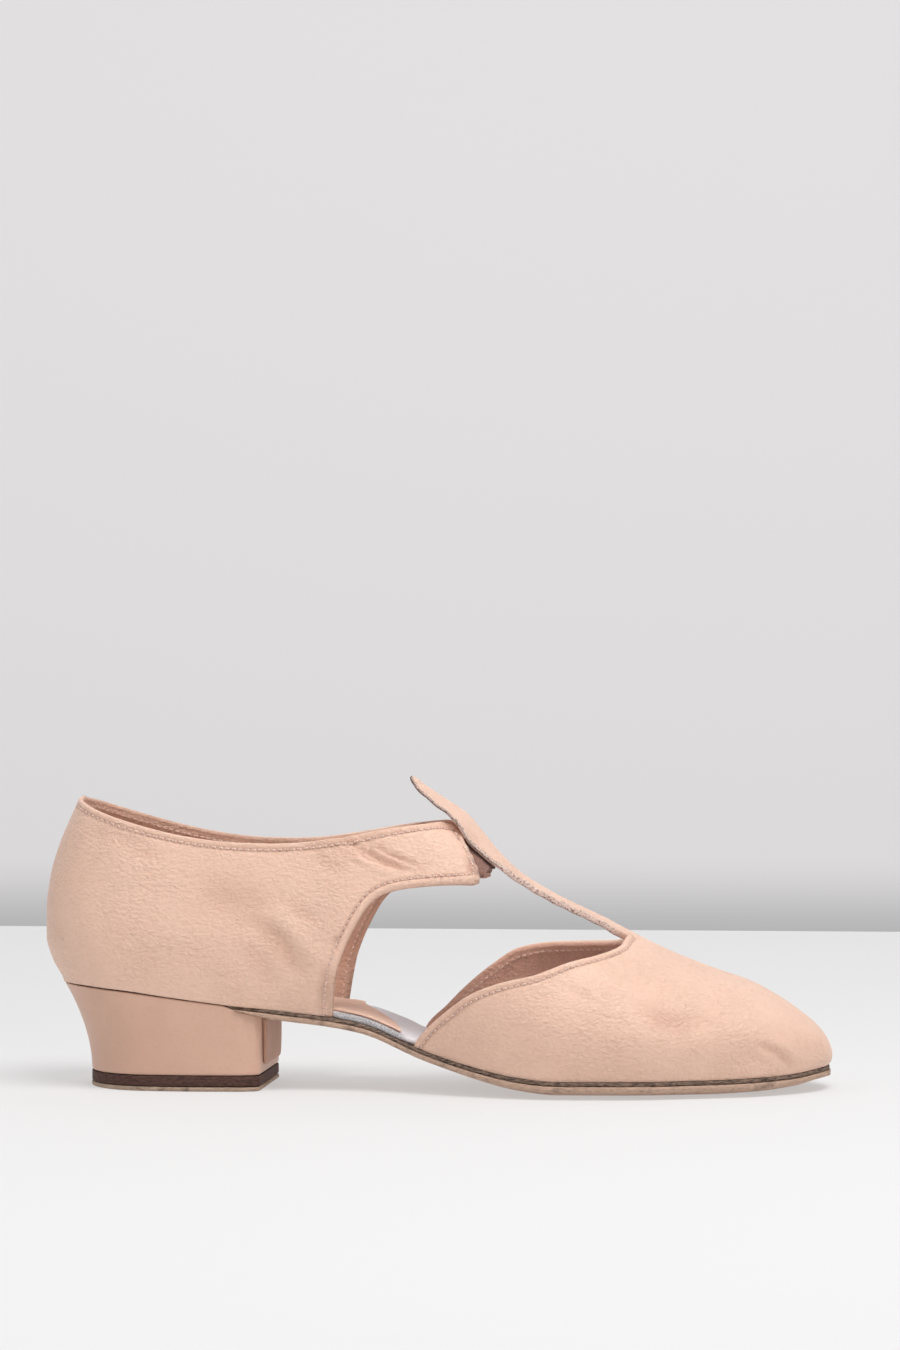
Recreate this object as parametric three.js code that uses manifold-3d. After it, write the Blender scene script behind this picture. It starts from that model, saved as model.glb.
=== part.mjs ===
// A low-heeled teaching sandal for dance: a closed vamp with a strap up the instep that ends in a leaf-shaped
// tab, a quarter whose two side bands meet under that tab, a thin full sole and a covered block heel. Right shoe.
// Millimetres. +X runs to the toe, +Y to the inner (medial) side, +Z up, and the floor is Z = 0.
import * as THREE from 'three';
import { mergeVertices } from 'three/addons/utils/BufferGeometryUtils.js';
import Module from 'manifold-3d';

const wasm = await Module();
wasm.setup();

// Driving sizes of the last
const soleLength = 251.3;
const ballWidth = 78;
const heelHeight = 32;
const toeSpring = 4.2;
const treadDish = 2.6;
const backHeight = 58.4;
const instepRise = 72;
const toeOverhang = 1.7;
const heelRoundLength = 30;
const toeRoundLength = 70;
const toeBoxLength = 30;

// Upper and sole stack
const upperWall = 2.0;
const seamGap = 0.3;
const outsoleThickness = 1.5;
const outsoleLedge = 0.6;
const midsoleThickness = 1.0;
const midsoleLedge = 0.3;
const insoleThickness = 2.0;
const sockThickness = 0.8;

// Heel
const heelBreast = 72.5;
const heelRake = 8.9;
const heelTaper = 0.07;
const heelCornerRadius = 3.5;
const heelInset = 0.4;
const soleLap = 8;
const liftThickness = 3.0;
const heelTipThickness = 1.5;
const breastFlapThickness = 1.2;
const breastFlapWidth = 36;
const breastFlapRise = 3;

// Straps over the instep
const strapWidth = 13;
const strapThickness = 2.0;
const tabWidth = 31;
const tabDrop = 3.4;
const elasticThickness = 1.1;
const keeperWidth = 12;
const keeperThickness = 1.1;

// Rise of the sole's edge along the shoe. "at" is a share of the sole's length, "seat" a share of the heel's
// height, "spring" of the toe spring and "dish" of what the tread's edges curl up.
const soleLine = [
  { at: 0.02, seat: 1.0, spring: 0.0, dish: 0.0 },
  { at: 0.1, seat: 0.96, spring: 0.0, dish: 0.0 },
  { at: 0.17, seat: 0.888, spring: 0.0, dish: 0.0 },
  { at: 0.25, seat: 0.803, spring: 0.0, dish: 0.0 },
  { at: 0.33, seat: 0.72, spring: 0.0, dish: 0.0 },
  { at: 0.38, seat: 0.668, spring: 0.0, dish: 0.0 },
  { at: 0.42, seat: 0.6, spring: 0.0, dish: 0.02 },
  { at: 0.45, seat: 0.505, spring: 0.0, dish: 0.08 },
  { at: 0.48, seat: 0.392, spring: 0.0, dish: 0.18 },
  { at: 0.515, seat: 0.28, spring: 0.0, dish: 0.35 },
  { at: 0.565, seat: 0.145, spring: 0.0, dish: 0.68 },
  { at: 0.615, seat: 0.045, spring: 0.0, dish: 0.9 },
  { at: 0.665, seat: 0.0, spring: 0.0, dish: 1.0 },
  { at: 0.84, seat: 0.0, spring: 0.0, dish: 1.0 },
  { at: 0.91, seat: 0.0, spring: 0.15, dish: 0.85 },
  { at: 0.955, seat: 0.0, spring: 0.45, dish: 0.55 },
  { at: 1.0, seat: 0.0, spring: 1.0, dish: 0.1 },
];

// Sections of the last, as shares. "centre" is the crest's offset to the inner side, "outer" and "inner" the half
// widths of the feather edge and "belly" what the upper swells past it, all of the ball width. "crest" is the
// height over the feather edge, of the instep's rise, and "waist" the height of the widest line, of the crest.
// "round" shapes the section's top: 2 is an ellipse, less is a ridge.
const lastSections = [
  { at: 0.0, centre: 0.0, outer: 0.335, inner: 0.335, belly: 0.03, crest: 1.62, waist: 0.17, round: 1.5 },
  { at: 0.16, centre: 0.0, outer: 0.345, inner: 0.345, belly: 0.035, crest: 1.58, waist: 0.17, round: 1.5 },
  { at: 0.26, centre: 0.0, outer: 0.325, inner: 0.315, belly: 0.04, crest: 1.52, waist: 0.18, round: 1.5 },
  { at: 0.3, centre: 0.0, outer: 0.305, inner: 0.29, belly: 0.05, crest: 1.47, waist: 0.19, round: 1.55 },
  { at: 0.36, centre: 0.0, outer: 0.285, inner: 0.255, belly: 0.06, crest: 1.38, waist: 0.2, round: 1.65 },
  { at: 0.42, centre: 0.0, outer: 0.285, inner: 0.235, belly: 0.065, crest: 1.25, waist: 0.22, round: 1.7 },
  { at: 0.47, centre: 0.0, outer: 0.32, inner: 0.24, belly: 0.06, crest: 1.155, waist: 0.26, round: 1.75 },
  { at: 0.51, centre: 0.003, outer: 0.37, inner: 0.265, belly: 0.05, crest: 1.105, waist: 0.28, round: 1.8 },
  { at: 0.54, centre: 0.006, outer: 0.41, inner: 0.295, belly: 0.048, crest: 1.065, waist: 0.29, round: 1.8 },
  { at: 0.56, centre: 0.008, outer: 0.44, inner: 0.32, belly: 0.047, crest: 1.005, waist: 0.29, round: 1.8 },
  { at: 0.58, centre: 0.011, outer: 0.465, inner: 0.345, belly: 0.046, crest: 0.935, waist: 0.3, round: 1.8 },
  { at: 0.61, centre: 0.015, outer: 0.495, inner: 0.37, belly: 0.045, crest: 0.855, waist: 0.31, round: 1.8 },
  { at: 0.66, centre: 0.03, outer: 0.53, inner: 0.415, belly: 0.045, crest: 0.765, waist: 0.31, round: 1.75 },
  { at: 0.72, centre: 0.045, outer: 0.54, inner: 0.44, belly: 0.045, crest: 0.665, waist: 0.31, round: 1.75 },
  { at: 0.78, centre: 0.06, outer: 0.535, inner: 0.435, belly: 0.043, crest: 0.555, waist: 0.33, round: 1.8 },
  { at: 0.84, centre: 0.075, outer: 0.51, inner: 0.43, belly: 0.04, crest: 0.472, waist: 0.36, round: 1.9 },
  { at: 0.9, centre: 0.087, outer: 0.505, inner: 0.425, belly: 0.035, crest: 0.412, waist: 0.4, round: 2.0 },
  { at: 1.0, centre: 0.1, outer: 0.48, inner: 0.4, belly: 0.03, crest: 0.33, waist: 0.45, round: 2.1 },
];

// Back curve of the counter: "rise" over the feather edge as a share of the back height, "inset" from the
// rearmost point as a share of the sole's length.
const counterCurve = [
  { rise: -0.2, inset: 0.028 },
  { rise: 0.0, inset: 0.0235 },
  { rise: 0.11, inset: 0.0095 },
  { rise: 0.24, inset: 0.001 },
  { rise: 0.38, inset: 0.001 },
  { rise: 0.57, inset: 0.006 },
  { rise: 0.75, inset: 0.018 },
  { rise: 0.9, inset: 0.033 },
  { rise: 1.0, inset: 0.044 },
  { rise: 2.0, inset: 0.17 },
];

// The quarter seen from the side, "rise" over the seat as a share of the back height: its collar from the back
// to the end of the side band, and its lower front edge from there to the sole.
const collarLine = [
  { at: 0.0, rise: 1.1 },
  { at: 0.045, rise: 1.01 },
  { at: 0.09, rise: 0.93 },
  { at: 0.174, rise: 0.829 },
  { at: 0.25, rise: 0.78 },
  { at: 0.33, rise: 0.775 },
  { at: 0.395, rise: 0.815 },
  { at: 0.46, rise: 0.868 },
  { at: 0.515, rise: 0.892 },
];
const bandEnd = [
  { at: 0.531, rise: 0.882 },
  { at: 0.541, rise: 0.845 },
  { at: 0.549, rise: 0.775 },
  { at: 0.5585, rise: 0.69 },
  { at: 0.5655, rise: 0.64 },
  { at: 0.5655, rise: 0.6 },
  { at: 0.559, rise: 0.582 },
];
const quarterFront = [
  { at: 0.53, rise: 0.57 },
  { at: 0.495, rise: 0.558 },
  { at: 0.457, rise: 0.536 },
  { at: 0.43, rise: 0.48 },
  { at: 0.409, rise: 0.33 },
  { at: 0.392, rise: 0.17 },
  { at: 0.381, rise: -0.01 },
  { at: 0.376, rise: -0.35 },
];

// The throat edge of the vamp seen from the side, from the sole up to the strap, on the outer and inner side:
// heights over the floor as shares of the instep's rise.
const throatLine = [
  { at: 0.462, outer: -0.1, inner: 0.0 },
  { at: 0.4825, outer: 0.2, inner: 0.25 },
  { at: 0.505, outer: 0.3, inner: 0.33 },
  { at: 0.53, outer: 0.377, inner: 0.42 },
  { at: 0.56, outer: 0.453, inner: 0.51 },
  { at: 0.6, outer: 0.508, inner: 0.597 },
  { at: 0.64, outer: 0.54, inner: 0.622 },
  { at: 0.68, outer: 0.59, inner: 0.628 },
  { at: 0.72, outer: 0.622, inner: 0.634 },
  { at: 0.741, outer: 0.65, inner: 0.652 },
  { at: 0.747, outer: 0.68, inner: 0.68 },
];

// The instep strap from its tip to the vamp: its width as a share of the tab's and of the strap's width, "crown"
// the fall from its middle to its edges as a share of the tab's drop, "sink" how deep it lies in the vamp's wall.
const strapLine = [
  { at: 0.4715, tab: 0.06, strap: 0.0, crown: 0.0, sink: 0.0 },
  { at: 0.4735, tab: 0.26, strap: 0.0, crown: 0.03, sink: 0.0 },
  { at: 0.4785, tab: 0.45, strap: 0.0, crown: 0.12, sink: 0.0 },
  { at: 0.488, tab: 0.65, strap: 0.0, crown: 0.25, sink: 0.0 },
  { at: 0.502, tab: 0.84, strap: 0.0, crown: 0.35, sink: 0.0 },
  { at: 0.52, tab: 0.96, strap: 0.0, crown: 0.42, sink: 0.0 },
  { at: 0.538, tab: 1.0, strap: 0.0, crown: 0.55, sink: 0.0 },
  { at: 0.552, tab: 0.96, strap: 0.0, crown: 0.8, sink: 0.0 },
  { at: 0.566, tab: 0.83, strap: 0.0, crown: 0.95, sink: 0.0 },
  { at: 0.58, tab: 0.5, strap: 0.36, crown: 0.7, sink: 0.0 },
  { at: 0.595, tab: 0.2, strap: 0.73, crown: 0.42, sink: 0.0 },
  { at: 0.615, tab: 0.05, strap: 0.93, crown: 0.25, sink: 0.0 },
  { at: 0.65, tab: 0.0, strap: 1.0, crown: 0.2, sink: 0.0 },
  { at: 0.69, tab: 0.0, strap: 1.0, crown: 0.2, sink: 0.0 },
  { at: 0.725, tab: 0.0, strap: 1.05, crown: 0.24, sink: 0.0 },
  { at: 0.745, tab: 0.0, strap: 1.2, crown: 0.3, sink: 0.1 },
  { at: 0.757, tab: 0.0, strap: 1.4, crown: 0.36, sink: 0.3 },
  { at: 0.77, tab: 0.0, strap: 1.45, crown: 0.38, sink: 0.6 },
];

// The keeper under the tab, from the strap back to the tab: heights over the floor as shares of the instep's rise.
const keeperLine = [
  { at: 0.6, rise: 0.915 },
  { at: 0.58, rise: 0.945 },
  { at: 0.56, rise: 0.98 },
  { at: 0.537, rise: 1.035 },
  { at: 0.519, rise: 1.115 },
  { at: 0.508, rise: 1.2 },
];

// The elastic between the side bands, seen from the side, in the same shares.
const elasticOutline = [
  { at: 0.522, rise: 1.17 },
  { at: 0.54, rise: 1.3 },
  { at: 0.585, rise: 1.08 },
  { at: 0.571, rise: 0.935 },
  { at: 0.548, rise: 0.95 },
];

// A smooth curve through one column of a table that never swings past its rows.
function column(table, key, row = 'at') {
  const steps = table.slice(1).map((next, k) => (next[key] - table[k][key]) / (next[row] - table[k][row]));
  const slopes = table.map((_, k) => {
    if (k === 0 || k === table.length - 1) return 0;
    const [before, after] = [steps[k - 1], steps[k]];
    return before * after > 0 ? (2 * before * after) / (before + after) : 0;
  });
  return (value) => {
    let k = table.findIndex((entry) => entry[row] > value) - 1;
    if (value <= table[0][row]) return table[0][key];
    if (k < 0) return table[table.length - 1][key];
    const width = table[k + 1][row] - table[k][row];
    const t = (value - table[k][row]) / width;
    const fromStart = (1 + 2 * t) * (1 - t) ** 2 * table[k][key] + t * (1 - t) ** 2 * width * slopes[k];
    return fromStart + t * t * (3 - 2 * t) * table[k + 1][key] - t * t * (1 - t) * width * slopes[k + 1];
  };
}

const soleSeat = column(soleLine, 'seat');
const soleSpring = column(soleLine, 'spring');
const soleDish = column(soleLine, 'dish');
const last = Object.fromEntries(['centre', 'outer', 'inner', 'belly', 'crest', 'waist', 'round']
  .map((key) => [key, column(lastSections, key)]));
const counterInset = column(counterCurve, 'inset', 'rise');

// The tread is flat across its middle and curls up towards both edges.
const flatShare = 0.5;

// Height of the outsole's underside at X = x, "across" running from -1 at the outer edge to 1 at the inner edge.
function treadHeight(x, across) {
  const at = x / soleLength;
  const curl = Math.max(0, (Math.abs(across) - flatShare) / (1 - flatShare)) ** 2;
  const shank = soleSeat(at) * (heelHeight - outsoleThickness);
  return shank + soleSpring(at) * toeSpring + soleDish(at) * treadDish * curl;
}

const midsoleRise = outsoleThickness + seamGap;
const featherRise = midsoleRise + midsoleThickness + seamGap;

// A quarter of an oval: 0 at the end of the shoe, 1 where the round end has run out.
function roundEnd(distance, length, power) {
  const t = Math.min(1, Math.max(0, distance / length));
  return (1 - (1 - t) ** power) ** (1 / power);
}

// A point of the upper's surface. "turn" runs from -1 at the outer feather edge over 0 at the crest to 1 at the
// inner feather edge, and "inset" is the depth below the surface. The share "underBelly" of each side's turn goes
// up to the widest line, and the reaches say how far along the shoe the back curve and the toe's overhang go.
const underBelly = 0.2;
const belowPower = 1.8;
const counterReach = 0.3;
const toeReach = 0.08;
const heelRoundPower = 2.1;
const toeRoundPower = 2.2;
const toeBoxPower = 2.3;
const crestNudge = 0.01;
function lastPoint(at, turn, inset = 0) {
  const side = turn < 0 ? -1 : 1;
  const up = 1 - Math.abs(turn);
  const wide = roundEnd(at * soleLength, heelRoundLength, heelRoundPower)
    * roundEnd((1 - at) * soleLength, toeRoundLength, toeRoundPower);
  const tall = roundEnd((1 - at) * soleLength, toeBoxLength, toeBoxPower);
  const climb = (last.crest(at + crestNudge) - last.crest(at - crestNudge)) * instepRise;
  const slope = climb / (2 * crestNudge * soleLength);
  const crestInset = inset * Math.hypot(1, slope);
  const foot = ballWidth * (side < 0 ? last.outer(at) : last.inner(at)) - inset;
  const swell = ballWidth * last.belly(at);
  const crest = (instepRise * last.crest(at) - crestInset) * tall;
  const waist = crest * last.waist(at);
  let y;
  let rise;
  if (up < underBelly) {
    const t = up / underBelly;
    rise = waist * t;
    y = foot + swell * (1 - (1 - t) ** belowPower);
  } else {
    const angle = (up - underBelly) / (1 - underBelly) * Math.PI / 2;
    const power = 2 / last.round(at);
    rise = waist + (crest - waist) * Math.sin(angle) ** power;
    y = (foot + swell) * Math.max(0, Math.cos(angle)) ** power;
  }
  const back = counterInset(rise / backHeight) * soleLength * Math.max(0, 1 - at / counterReach) ** 2;
  const front = toeOverhang * (1 - Math.exp(-rise / toeOverhang)) * Math.max(0, 1 - (1 - at) / toeReach);
  const x = inset + at * (soleLength - 2 * inset) + back + front;
  const feather = treadHeight(inset + at * (soleLength - 2 * inset), 1) + featherRise;
  return new THREE.Vector3(x, last.centre(at) * ballWidth + side * y * wide, feather + rise);
}

// A closed solid from its corner points and triangles, turned so that its faces point out.
function toSolid(geometry) {
  const bare = geometry.clone();
  bare.deleteAttribute('normal');
  bare.deleteAttribute('uv');
  const merged = mergeVertices(bare, 1e-4);
  const position = merged.attributes.position;
  const corners = merged.index.array;
  const triangles = [];
  const [a, b, c] = [new THREE.Vector3(), new THREE.Vector3(), new THREE.Vector3()];
  let volume = 0;
  for (let k = 0; k < corners.length; k += 3) {
    const [i, j, m] = [corners[k], corners[k + 1], corners[k + 2]];
    if (i === j || j === m || m === i) continue;
    triangles.push(i, j, m);
    volume += a.fromBufferAttribute(position, i).dot(
      b.fromBufferAttribute(position, j).cross(c.fromBufferAttribute(position, m)));
  }
  if (volume < 0) triangles.reverse();
  return new wasm.Manifold(new wasm.Mesh({
    numProp: 3,
    vertProperties: new Float32Array(position.array),
    triVerts: new Uint32Array(triangles),
  }));
}

// A solid through closed rings with as many points each; each end is closed by strips between a ring's first
// and second half.
function loft(rings) {
  const count = rings[0].length;
  const positions = rings.flat().flatMap((p) => [p.x, p.y, p.z]);
  const triangles = [];
  const quad = (a, b, c, d) => triangles.push(a, b, c, a, c, d);
  for (let i = 0; i + 1 < rings.length; i += 1) {
    for (let j = 0; j < count; j += 1) {
      const next = (j + 1) % count;
      quad(i * count + j, i * count + next, (i + 1) * count + next, (i + 1) * count + j);
    }
  }
  const end = (rings.length - 1) * count;
  for (let j = 0; j < Math.floor((count - 1) / 2); j += 1) {
    const far = count - 1 - j;
    quad(far, far - 1, j + 1, j);
    quad(end + j, end + j + 1, end + far - 1, end + far);
  }
  const geometry = new THREE.BufferGeometry();
  geometry.setAttribute('position', new THREE.Float32BufferAttribute(positions, 3));
  geometry.setIndex(triangles);
  return toSolid(geometry);
}

const range = (count, make) => Array.from({ length: count + 1 }, (_, k) => make(k / count));

// Stations along the shoe, closer together at its round ends. Every piece uses the same ones, so that their
// faces run side by side.
const stationCount = 42;
const stationEase = 0.88;
const stationMargin = 0.2 / stationCount;
const allStations = range(stationCount, (t) => t - stationEase * Math.sin(2 * Math.PI * t) / (2 * Math.PI));
function stations(from, to) {
  return [from, ...allStations.filter((at) => at > from + stationMargin && at < to - stationMargin), to];
}

// The space inside the upper's surface between two stations, at a depth "inset", and "drop" further down.
const turnSteps = 12;
function lastSolid(from, to, inset, drop = 0) {
  return loft(stations(from, to).map((at) => {
    const ring = range(2 * turnSteps, (s) => lastPoint(at, 2 * s - 1, inset));
    if (drop > 0) {
      ring.unshift(ring[0].clone().setZ(ring[0].z - drop));
      ring.push(ring[ring.length - 1].clone().setZ(ring[ring.length - 1].z - drop));
    }
    return ring;
  }));
}

// A prism across the shoe from an outline seen from the side, between two places along Y.
const acrossReach = 80;
function sidePrism(outline, yFrom = -acrossReach, yTo = acrossReach) {
  const geometry = new THREE.ExtrudeGeometry(new THREE.Shape(outline), {
    depth: yTo - yFrom, bevelEnabled: false,
  });
  geometry.rotateX(Math.PI / 2);
  geometry.translate(0, yTo, 0);
  return toSolid(geometry);
}

// An upright prism from an outline seen from above.
function planPrism(outline, zFrom, zTo) {
  const geometry = new THREE.ExtrudeGeometry(new THREE.Shape(outline), {
    depth: zTo - zFrom, bevelEnabled: false,
  });
  geometry.translate(0, 0, zFrom);
  return toSolid(geometry);
}

// A point on the line that stands "edge" outside the feather edge, seen from above.
const edgeNudge = 0.002;
function featherEdge(at, side, edge) {
  const here = lastPoint(at, side);
  const ahead = lastPoint(Math.min(1, at + edgeNudge), side);
  const behind = lastPoint(Math.max(0, at - edgeNudge), side);
  const along = new THREE.Vector2(ahead.x - behind.x, ahead.y - behind.y).normalize();
  return new THREE.Vector2(here.x - side * along.y * edge, here.y + side * along.x * edge);
}

// A layer of the sole from a station to the toe: "edge" is what its outline stands past the feather edge, "rise"
// the height of its underside over the tread's surface.
const acrossRows = [-1, -0.82, -flatShare, 0, flatShare, 0.82, 1];
function soleLayer(from, edge, rise, thickness) {
  return loft(stations(from, 1).map((at) => {
    const outer = featherEdge(at, -1, edge);
    const inner = featherEdge(at, 1, edge);
    const row = acrossRows.map((across) => {
      const place = outer.clone().lerp(inner, (across + 1) / 2);
      return new THREE.Vector3(place.x, place.y, treadHeight(place.x, across) + rise);
    });
    const top = row.map((p) => p.clone().setZ(p.z + thickness));
    return [...row, ...top.reverse()];
  }));
}

// The heel's outline seen from above, at a share "down" of its height, from its outer front corner round the
// back to its inner front corner. Its sides start where the round of a front corner has run out.
const heelHollowPower = 1.9;
const heelSideSteps = 15;
const cornerSteps = 4;
const cornerRunOut = 1.4 * heelCornerRadius;
function heelOutline(down) {
  const rake = heelRake * (1 - (1 - down) ** heelHollowPower);
  const backEdge = lastPoint(0, -1).x;
  const squeeze = (heelBreast - backEdge - rake) / (heelBreast - backEdge);
  const edgeAt = (t, side) => {
    const at = (heelBreast / soleLength) * (1 - Math.sin(t * Math.PI / 2));
    const edge = featherEdge(at, side, -heelInset);
    const forward = Math.min(1, Math.max(0, (heelBreast - edge.x) / (heelBreast - backEdge)));
    const taper = 1 - heelTaper * down * forward;
    return new THREE.Vector2(heelBreast - (heelBreast - edge.x) * squeeze, edge.y * taper);
  };
  const outline = [];
  for (const side of [-1, 1]) {
    const corner = edgeAt(0, side);
    const half = range(cornerSteps, (turn) => {
      const angle = turn * Math.PI / 2;
      return new THREE.Vector2(
        heelBreast - heelCornerRadius * (1 - Math.cos(angle)),
        corner.y - side * heelCornerRadius * (1 - Math.sin(angle)));
    });
    for (let k = 1; k <= heelSideSteps; k += 1) {
      const place = edgeAt(k / heelSideSteps, side);
      if (place.x < heelBreast - cornerRunOut) half.push(place);
    }
    if (side > 0) half.reverse().shift();
    outline.push(...half);
  }
  return outline;
}

// Rings of a ribbon that runs along the shoe: each row of "line" gives a place on its middle line, half its width,
// the fall from its middle to its edges and its thickness.
function ribbonRings(line, path, halfWidth, crown, thickness, columns) {
  return line.map((row, k) => {
    const here = path(row);
    const before = path(line[Math.max(0, k - 1)]);
    const after = path(line[Math.min(line.length - 1, k + 1)]);
    const along = after.clone().sub(before).setY(0).normalize();
    const up = new THREE.Vector3(-along.z, 0, along.x);
    const top = range(columns, (t) => {
      const across = 2 * t - 1;
      const fall = crown(row) * across * across;
      return here.clone().addScaledVector(up, -fall).add(new THREE.Vector3(0, across * halfWidth(row), 0));
    });
    const under = top.map((p) => p.clone().addScaledVector(up, -thickness(row))).reverse();
    return [...top, ...under];
  });
}

// An outline seen from the side, from a table's rows and a height for each.
const sideOutline = (rows, height) => rows.map((row) => new THREE.Vector2(row.at * soleLength, height(row)));
const smooth = (points, count) => new THREE.SplineCurve(points).getPoints(count);

// Vamp: the forepart of the upper under its throat edge, with the instep strap and its tab in one piece.
const vampFrom = 0.44;
const endOverlap = 0.02;
const openUnder = 12;
const aboveAll = 200;
const vampShell = lastSolid(vampFrom, 1, 0).subtract(lastSolid(vampFrom - endOverlap, 1, upperWall, openUnder));
const vampHalf = (key, yFrom, yTo) => {
  const edge = smooth(sideOutline(throatLine, (row) => row[key] * instepRise), 30);
  const top = edge[edge.length - 1];
  return sidePrism([
    new THREE.Vector2(edge[0].x, -acrossReach),
    ...edge,
    new THREE.Vector2(top.x + 1, aboveAll),
    new THREE.Vector2(soleLength + acrossReach, aboveAll),
    new THREE.Vector2(soleLength + acrossReach, -acrossReach),
  ], yFrom, yTo);
};
const vampKeep = vampHalf('outer', -acrossReach, 0).add(vampHalf('inner', 0, acrossReach));

const strapRibbon = (gap) => loft(ribbonRings(
  strapLine,
  (row) => {
    const crest = lastPoint(row.at, 0);
    return new THREE.Vector3(crest.x, last.centre(row.at) * ballWidth, crest.z - row.sink + gap);
  },
  (row) => (row.tab * tabWidth + row.strap * strapWidth) / 2 + gap,
  (row) => row.crown * tabDrop,
  (row) => strapThickness - row.sink + 2 * gap,
  8,
));
const vampSolid = vampShell.intersect(vampKeep).add(strapRibbon(0));

// Quarter: the back of the upper with its two side bands, one wall round the heel.
const seatHeight = (row) => heelHeight + seamGap + midsoleThickness + row.rise * backHeight;
const quarterOutline = [
  ...smooth(sideOutline(collarLine, seatHeight), 18),
  ...smooth(sideOutline(bandEnd, seatHeight), 8),
  ...smooth(sideOutline(quarterFront, seatHeight), 16),
];
quarterOutline.unshift(new THREE.Vector2(-acrossReach, quarterOutline[0].y));
quarterOutline.push(new THREE.Vector2(-acrossReach, quarterOutline[quarterOutline.length - 1].y));
const quarterTo = 0.6;
const quarterShell = lastSolid(0, quarterTo, 0).subtract(lastSolid(0, quarterTo + endOverlap, upperWall, openUnder));
const overBands = strapRibbon(seamGap).translate([0, 0, strapThickness]);
const quarterSolid = quarterShell.intersect(sidePrism(quarterOutline))
  .subtract(strapRibbon(seamGap)).subtract(overBands);

// Elastic: a ribbed band under the tab that joins the inner faces of the side bands.
const elasticFrom = 0.5;
const elasticTo = 0.65;
const elasticInset = upperWall + seamGap;
const elasticShell = lastSolid(elasticFrom, elasticTo, elasticInset)
  .subtract(lastSolid(elasticFrom - endOverlap, elasticTo + endOverlap, elasticInset + elasticThickness, openUnder));
const elasticSolid = elasticShell.intersect(
  sidePrism(sideOutline(elasticOutline, (row) => row.rise * instepRise))).subtract(strapRibbon(seamGap));

// Keeper: the thin leather loop under the tab that holds the elastic to it.
const keeperDrop = 0.25 * tabDrop;
const keeperSolid = loft(ribbonRings(
  keeperLine,
  (row) => new THREE.Vector3(row.at * soleLength, last.centre(row.at) * ballWidth, row.rise * instepRise),
  () => keeperWidth / 2,
  () => keeperDrop,
  () => keeperThickness,
  4,
)).subtract(strapRibbon(seamGap));

// Outsole: full forepart and shank, its back end lapped under the heel's seat.
const outsoleFrom = (heelBreast - soleLap) / soleLength;
const outsoleSolid = soleLayer(outsoleFrom, outsoleLedge, 0, outsoleThickness);

// Midsole: the thin dark layer between the outsole and the upper, full length.
const midsoleSolid = soleLayer(0, midsoleLedge, midsoleRise, midsoleThickness);

// Insole: it fills the upper's inside and comes out to the sole's edge between quarter and vamp.
const waistFrom = quarterFront[quarterFront.length - 2].at * soleLength;
const waistTo = throatLine[1].at * soleLength;
const waistBox = (from, to) => planPrism([
  new THREE.Vector2(from, -acrossReach),
  new THREE.Vector2(to, -acrossReach),
  new THREE.Vector2(to, acrossReach),
  new THREE.Vector2(from, acrossReach),
], -acrossReach, acrossReach);
const insideUpper = (gap) => lastSolid(0, 1, upperWall + gap, openUnder);
const openWaist = waistBox(waistFrom + 2 * seamGap, waistTo - 4 * seamGap);
const sockClearance = 0.4;
const insoleSolid = soleLayer(0, 0, featherRise, insoleThickness)
  .intersect(insideUpper(seamGap).add(openWaist));

// Heel sock: a thin leather layer on the insole, with its front edge cut aslant in a round.
const sockFront = [
  { at: -0.02, side: -0.6 }, { at: 0.46, side: -0.6 }, { at: 0.468, side: -0.28 }, { at: 0.458, side: -0.12 },
  { at: 0.438, side: 0.02 }, { at: 0.418, side: 0.14 }, { at: 0.405, side: 0.26 }, { at: 0.4, side: 0.6 },
  { at: -0.02, side: 0.6 },
];
const sockEdge = -1;
const sockSolid = soleLayer(0, sockEdge, featherRise + insoleThickness + seamGap, sockThickness)
  .intersect(insideUpper(seamGap + sockClearance).add(openWaist))
  .intersect(planPrism(
    sockFront.map((row) => new THREE.Vector2(row.at * soleLength, row.side * ballWidth)),
    -acrossReach, acrossReach));

// Heel: a block under the seat, its back raked and hollow, cut to take the outsole's lap.
const liftTop = heelTipThickness + seamGap + liftThickness;
const heelRows = 7;
const heelRing = (down, height) => heelOutline(down).map((p) => new THREE.Vector3(p.x, p.y, height(p)));
const seatUnder = (p) => treadHeight(p.x, 1) + outsoleThickness;
const heelBottom = liftTop + seamGap;
const lapClearance = soleLayer(
  outsoleFrom - seamGap / soleLength, outsoleLedge + seamGap, -seamGap, outsoleThickness + 3 * seamGap);
const heelSolid = loft(range(heelRows, (down) => heelRing(
  down, (p) => heelBottom + (seatUnder(p) - heelBottom) * (1 - down)))).subtract(lapClearance);
const liftSolid = loft([heelTipThickness + seamGap, liftTop].map((z) => heelRing(1, () => z)));
const heelTipSolid = loft([0, heelTipThickness].map((z) => heelRing(1, () => z)));

// Breast flap: the leather that covers the heel's front face.
const flapCorner = 3;
const flapOutline = new THREE.Shape();
const flapBase = liftTop + breastFlapRise;
const flapTop = treadHeight(heelBreast + seamGap + breastFlapThickness, 0) - seamGap;
const flapSide = breastFlapWidth / 2;
const flapLower = flapSide - 1;
flapOutline.moveTo(-flapSide, flapTop);
flapOutline.lineTo(-flapLower, flapBase + flapCorner);
flapOutline.quadraticCurveTo(-flapLower, flapBase, flapCorner - flapLower, flapBase);
flapOutline.lineTo(flapLower - flapCorner, flapBase);
flapOutline.quadraticCurveTo(flapLower, flapBase, flapLower, flapBase + flapCorner);
flapOutline.lineTo(flapSide, flapTop);
const flapGeometry = new THREE.ExtrudeGeometry(flapOutline, {
  depth: breastFlapThickness, bevelEnabled: false, curveSegments: 4,
});
flapGeometry.rotateX(Math.PI / 2);
flapGeometry.rotateZ(Math.PI / 2);
flapGeometry.translate(heelBreast + seamGap, 0, 0);
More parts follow.
